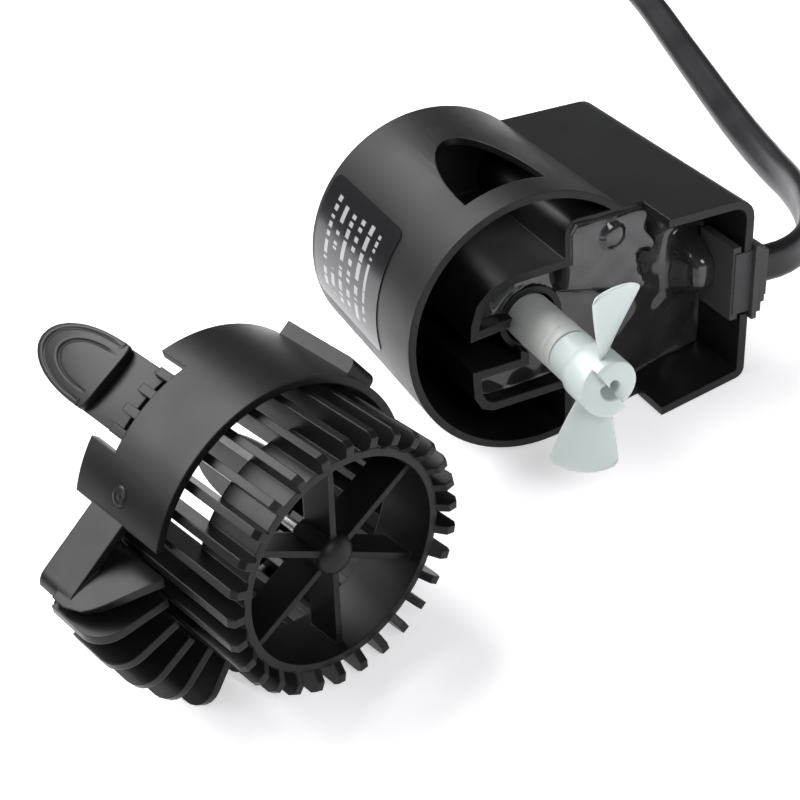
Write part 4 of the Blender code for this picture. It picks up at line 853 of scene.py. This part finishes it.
def build_cord():
    """Flat two-core cord: a superellipse that dips between the cores, carried along the route and turned by
    the tilt of its knots."""
    looks = bpy.context.scene.wave_pump_looks
    knots, start, heading, back = cord_route()
    path = smooth_path(knots, 2.4 * MM)
    centre, tilt = path[:, :3], path[:, 3]
    along = np.gradient(centre, axis=0)
    along /= np.linalg.norm(along, axis=1)[:, None]
    side = np.cross(along, [0, 0, 1.0])
    side /= np.linalg.norm(side, axis=1)[:, None]
    upright = np.cross(side, along)
    wide = upright * np.cos(tilt)[:, None] + side * np.sin(tilt)[:, None]
    thick = np.cross(along, wide)
    turn = np.linspace(0, TAU, 28, endpoint=False)
    half_w, half_t = looks.cord_width * MM / 2, looks.cord_thickness * MM / 2
    a = half_w * np.sign(np.cos(turn)) * np.abs(np.cos(turn)) ** 0.75
    dip = 1 - 0.14 * np.exp(-((a / (0.3 * half_w)) ** 2))
    b = half_t * np.sign(np.sin(turn)) * np.abs(np.sin(turn)) ** 0.75 * dip
    grid = centre[:, None] + a[None, :, None] * wide[:, None] + b[None, :, None] * thick[:, None]
    cord = loft("mains_cord", grid, FINISH["pvc"])
    settle(cord, "motor", "cord_tube")
    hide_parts("cord_coil", "cord_tail")
    tie = moulded("cord_tie", "coil_tie", FINISH["rubber"], "motor")
    body = plug_shell(heading, back)
    settle(body, "motor", "plug_body")
    pins = [moulded(f"pin_{side}", f"plug_pin_{side}", FINISH["brass"], "motor")
            for side in ("live", "neutral")]


def plug_shell(heading, back):
    """Flat two-pin plug: superellipse sections from a ribbed sleeve to a wide flat body, rounded off."""
    x = np.array([0, 0.4, 1.5, 2.0, 3.0, 3.5, 4.5, 5.0, 6.0, 6.5, 7.5, 10, 13, 16, 19, 22, 25, 28, 31, 33.2,
                  33.8, PLUG_LENGTH])
    half_w = np.array([4.2, 4.6, 4.7, 4.2, 4.2, 4.9, 4.9, 4.4, 4.4, 5.2, 5.3, 6.4, 8.6, 11.6, 14.4, 16.2,
                       17.1, 17.4, 17.5, 17.4, 17.0, 16.4])
    half_h = np.array([3.2, 3.6, 3.7, 3.3, 3.3, 3.9, 3.9, 3.5, 3.5, 4.1, 4.2, 4.9, 5.5, 6.0, 6.4, 6.6, 6.75,
                       6.8, 6.8, 6.7, 6.4, 5.9])
    turn = np.linspace(0, TAU, 56, endpoint=False)[None, :]
    y = half_w[:, None] * np.sign(np.cos(turn)) * np.abs(np.cos(turn)) ** 0.55
    z = half_h[:, None] * np.sign(np.sin(turn)) * np.abs(np.sin(turn)) ** 0.55
    up = np.array([0, 0, 1.0])
    grid = back + x[:, None, None] * MM * heading + y[..., None] * MM * np.cross(up, heading)
    grid = grid + z[..., None] * MM * up
    return loft("mains_plug", grid, FINISH["pvc"])


# ------------------------------------------------------------------ stage


CAMERA_PLACE = (-83.344, -251.511, 179.260)
CAMERA_RIGHT = (0.88097, -0.41244, -0.23193)
CAMERA_UP = (0.42437, 0.47187, 0.77282)
CAMERA_LENS = 68.82


def matrix_of(right, up, back, place):
    """A placement from its three axes and its origin."""
    matrix = np.eye(4)
    matrix[:3] = np.stack([right, up, back, place], 1)
    return Matrix(matrix.tolist())


def build_camera():
    data = bpy.data.cameras.new("camera")
    data.lens = CAMERA_LENS
    data.sensor_width = 36.0
    data.clip_start = 0.01
    camera = bpy.data.objects.new("camera", data)
    place = np.array(CAMERA_PLACE) * MM + [MOTOR[0][0], MOTOR[0][1], 0.0]
    camera.matrix_world = matrix_of(CAMERA_RIGHT, CAMERA_UP, np.cross(CAMERA_RIGHT, CAMERA_UP), place)
    bpy.context.scene.collection.objects.link(camera)
    bpy.context.scene.camera = camera


def soft_light(name, place, size, power):
    """A rectangular light that faces the middle of the table."""
    data = bpy.data.lights.new(name, "AREA")
    data.shape = "RECTANGLE"
    data.size, data.size_y = size
    data.energy = power
    lamp = bpy.data.objects.new(name, data)
    back = np.array(place) / np.linalg.norm(place)
    right = np.cross([0, 0, 1.0], back)
    right /= np.linalg.norm(right)
    lamp.matrix_world = matrix_of(right, np.cross(back, right), back, place)
    bpy.context.scene.collection.objects.link(lamp)


def build_stage():
    """Pale floor, a white surround and three soft lights."""
    bpy.context.scene.view_settings.view_transform = "Standard"
    made, tree, shader = shader_of("pale table", (0.82, 0.81, 0.83), 0.7)
    fill(tree, shader, {"Specular IOR Level": 0.2, "Emission Color": (1.0, 0.99, 1.0, 1.0),
                        "Emission Strength": 0.5})
    half, top = 1.6, -0.02 * MM
    corners = [(-half, -half, top), (half, -half, top), (half, half, top), (-half, half, top)]
    mesh = bpy.data.meshes.new("table")
    mesh.from_pydata(corners, [], [(0, 1, 2, 3)])
    mesh.materials.append(made)
    floor = bpy.data.objects.new("table", mesh)
    bpy.context.scene.collection.objects.link(floor)
    world = bpy.context.scene.world or bpy.data.worlds.new("studio")
    bpy.context.scene.world = world
    world.use_nodes = True
    air = world.node_tree
    fill(air, air.nodes["Background"], {"Color": (0.95, 0.96, 1.0, 1.0), "Strength": 0.16})
    soft_light("overhead_box", (-0.3, 0.7, 1.1), (1.3, 0.9), 30.0)
    soft_light("left_box", (-1.0, 0.3, 0.8), (0.8, 0.6), 6.0)
    soft_light("front_fill", (0.2, -1.1, 0.9), (0.7, 0.6), 8.0)


# ------------------------------------------------------------------ add-on


def colour_property(name, text, default):
    return FloatVectorProperty(name=name, description=text, subtype="COLOR", size=3, min=0, max=1,
                               default=default)


class WavePumpLooks(bpy.types.PropertyGroup):
    plastic_colour: colour_property("Plastic colour", "Housing and cover", (0.0065, 0.0065, 0.007))
    resin_colour: colour_property("Resin colour", "Potting resin", (0.014, 0.014, 0.015))
    propeller_colour: colour_property("Propeller colour", "Propeller and coupling", (0.5, 0.56, 0.55))
    cord_colour: colour_property("Cord colour", "Cord and plug", (0.007, 0.007, 0.008))
    cord_width: FloatProperty(name="Cord width", description="Wide side of the flat cord, in millimetres",
                              default=7.2, min=4.0, max=10.0)
    cord_thickness: FloatProperty(name="Cord thickness", description="Its narrow side, in millimetres",
                                  default=3.6, min=2.0, max=6.0)
    coil_turns: IntProperty(name="Coil turns", description="Whole turns of cord in the coil",
                            default=4, min=1, max=8)


def operator(suffix, label, text, work):
    """An operator class that does one part of the build."""

    def execute(self, context):
        work()
        return {"FINISHED"}

    return type("WAVEPUMP_OT_" + suffix, (bpy.types.Operator,),
                {"bl_idname": "wavepump." + suffix, "bl_label": label, "__doc__": text, "execute": execute})


OPERATORS = [
    operator("camera", "Camera", "Places the camera", build_camera),
    operator("finishes", "Finishes", "Mixes every finish", mix_finishes),
    operator("cord", "Cord and plug", "Builds the flat cord, its coil and its plug", build_cord),
    operator("motor_body", "Motor body", "Builds the housing and what is in it", build_motor_body),
    operator("label", "Label", "Builds the label film", build_label),
    operator("resin", "Resin face", "Builds the poured face of the resin", build_resin_surface),
    operator("rotor", "Rotor", "Builds the rotor, shaft and coupling", build_rotor),
    operator("propeller", "Propeller", "Builds the hub and the two blades", build_propeller),
    operator("cover", "Cover", "Builds the ring, louvre and cage", build_cover),
    operator("latches", "Latches", "Builds the two sprung latches", build_latches),
    operator("stage", "Stage", "Builds the table, the surround and the lights", build_stage),
]


class WAVEPUMP_PT_panel(bpy.types.Panel):
    """Lists the sizes, the colours and each step of the build."""

    bl_label = "Wave maker pump"
    bl_idname = "WAVEPUMP_PT_panel"
    bl_space_type = "VIEW_3D"
    bl_region_type = "UI"
    bl_category = "Wave Pump"

    def draw(self, context):
        looks = context.scene.wave_pump_looks
        for name in WavePumpLooks.__annotations__:
            self.layout.prop(looks, name)
        for made in OPERATORS:
            self.layout.operator(made.bl_idname)


def register():
    for made in (WavePumpLooks, *OPERATORS, WAVEPUMP_PT_panel):
        bpy.utils.register_class(made)
    bpy.types.Scene.wave_pump_looks = PointerProperty(type=WavePumpLooks)


def unregister():
    del bpy.types.Scene.wave_pump_looks
    for made in (WAVEPUMP_PT_panel, *reversed(OPERATORS), WavePumpLooks):
        bpy.utils.unregister_class(made)


def main():
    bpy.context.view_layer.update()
    register()
    for made in OPERATORS:
        group, step = made.bl_idname.split(".")
        getattr(getattr(bpy.ops, group), step)()


if __name__ == "__main__":
    main()
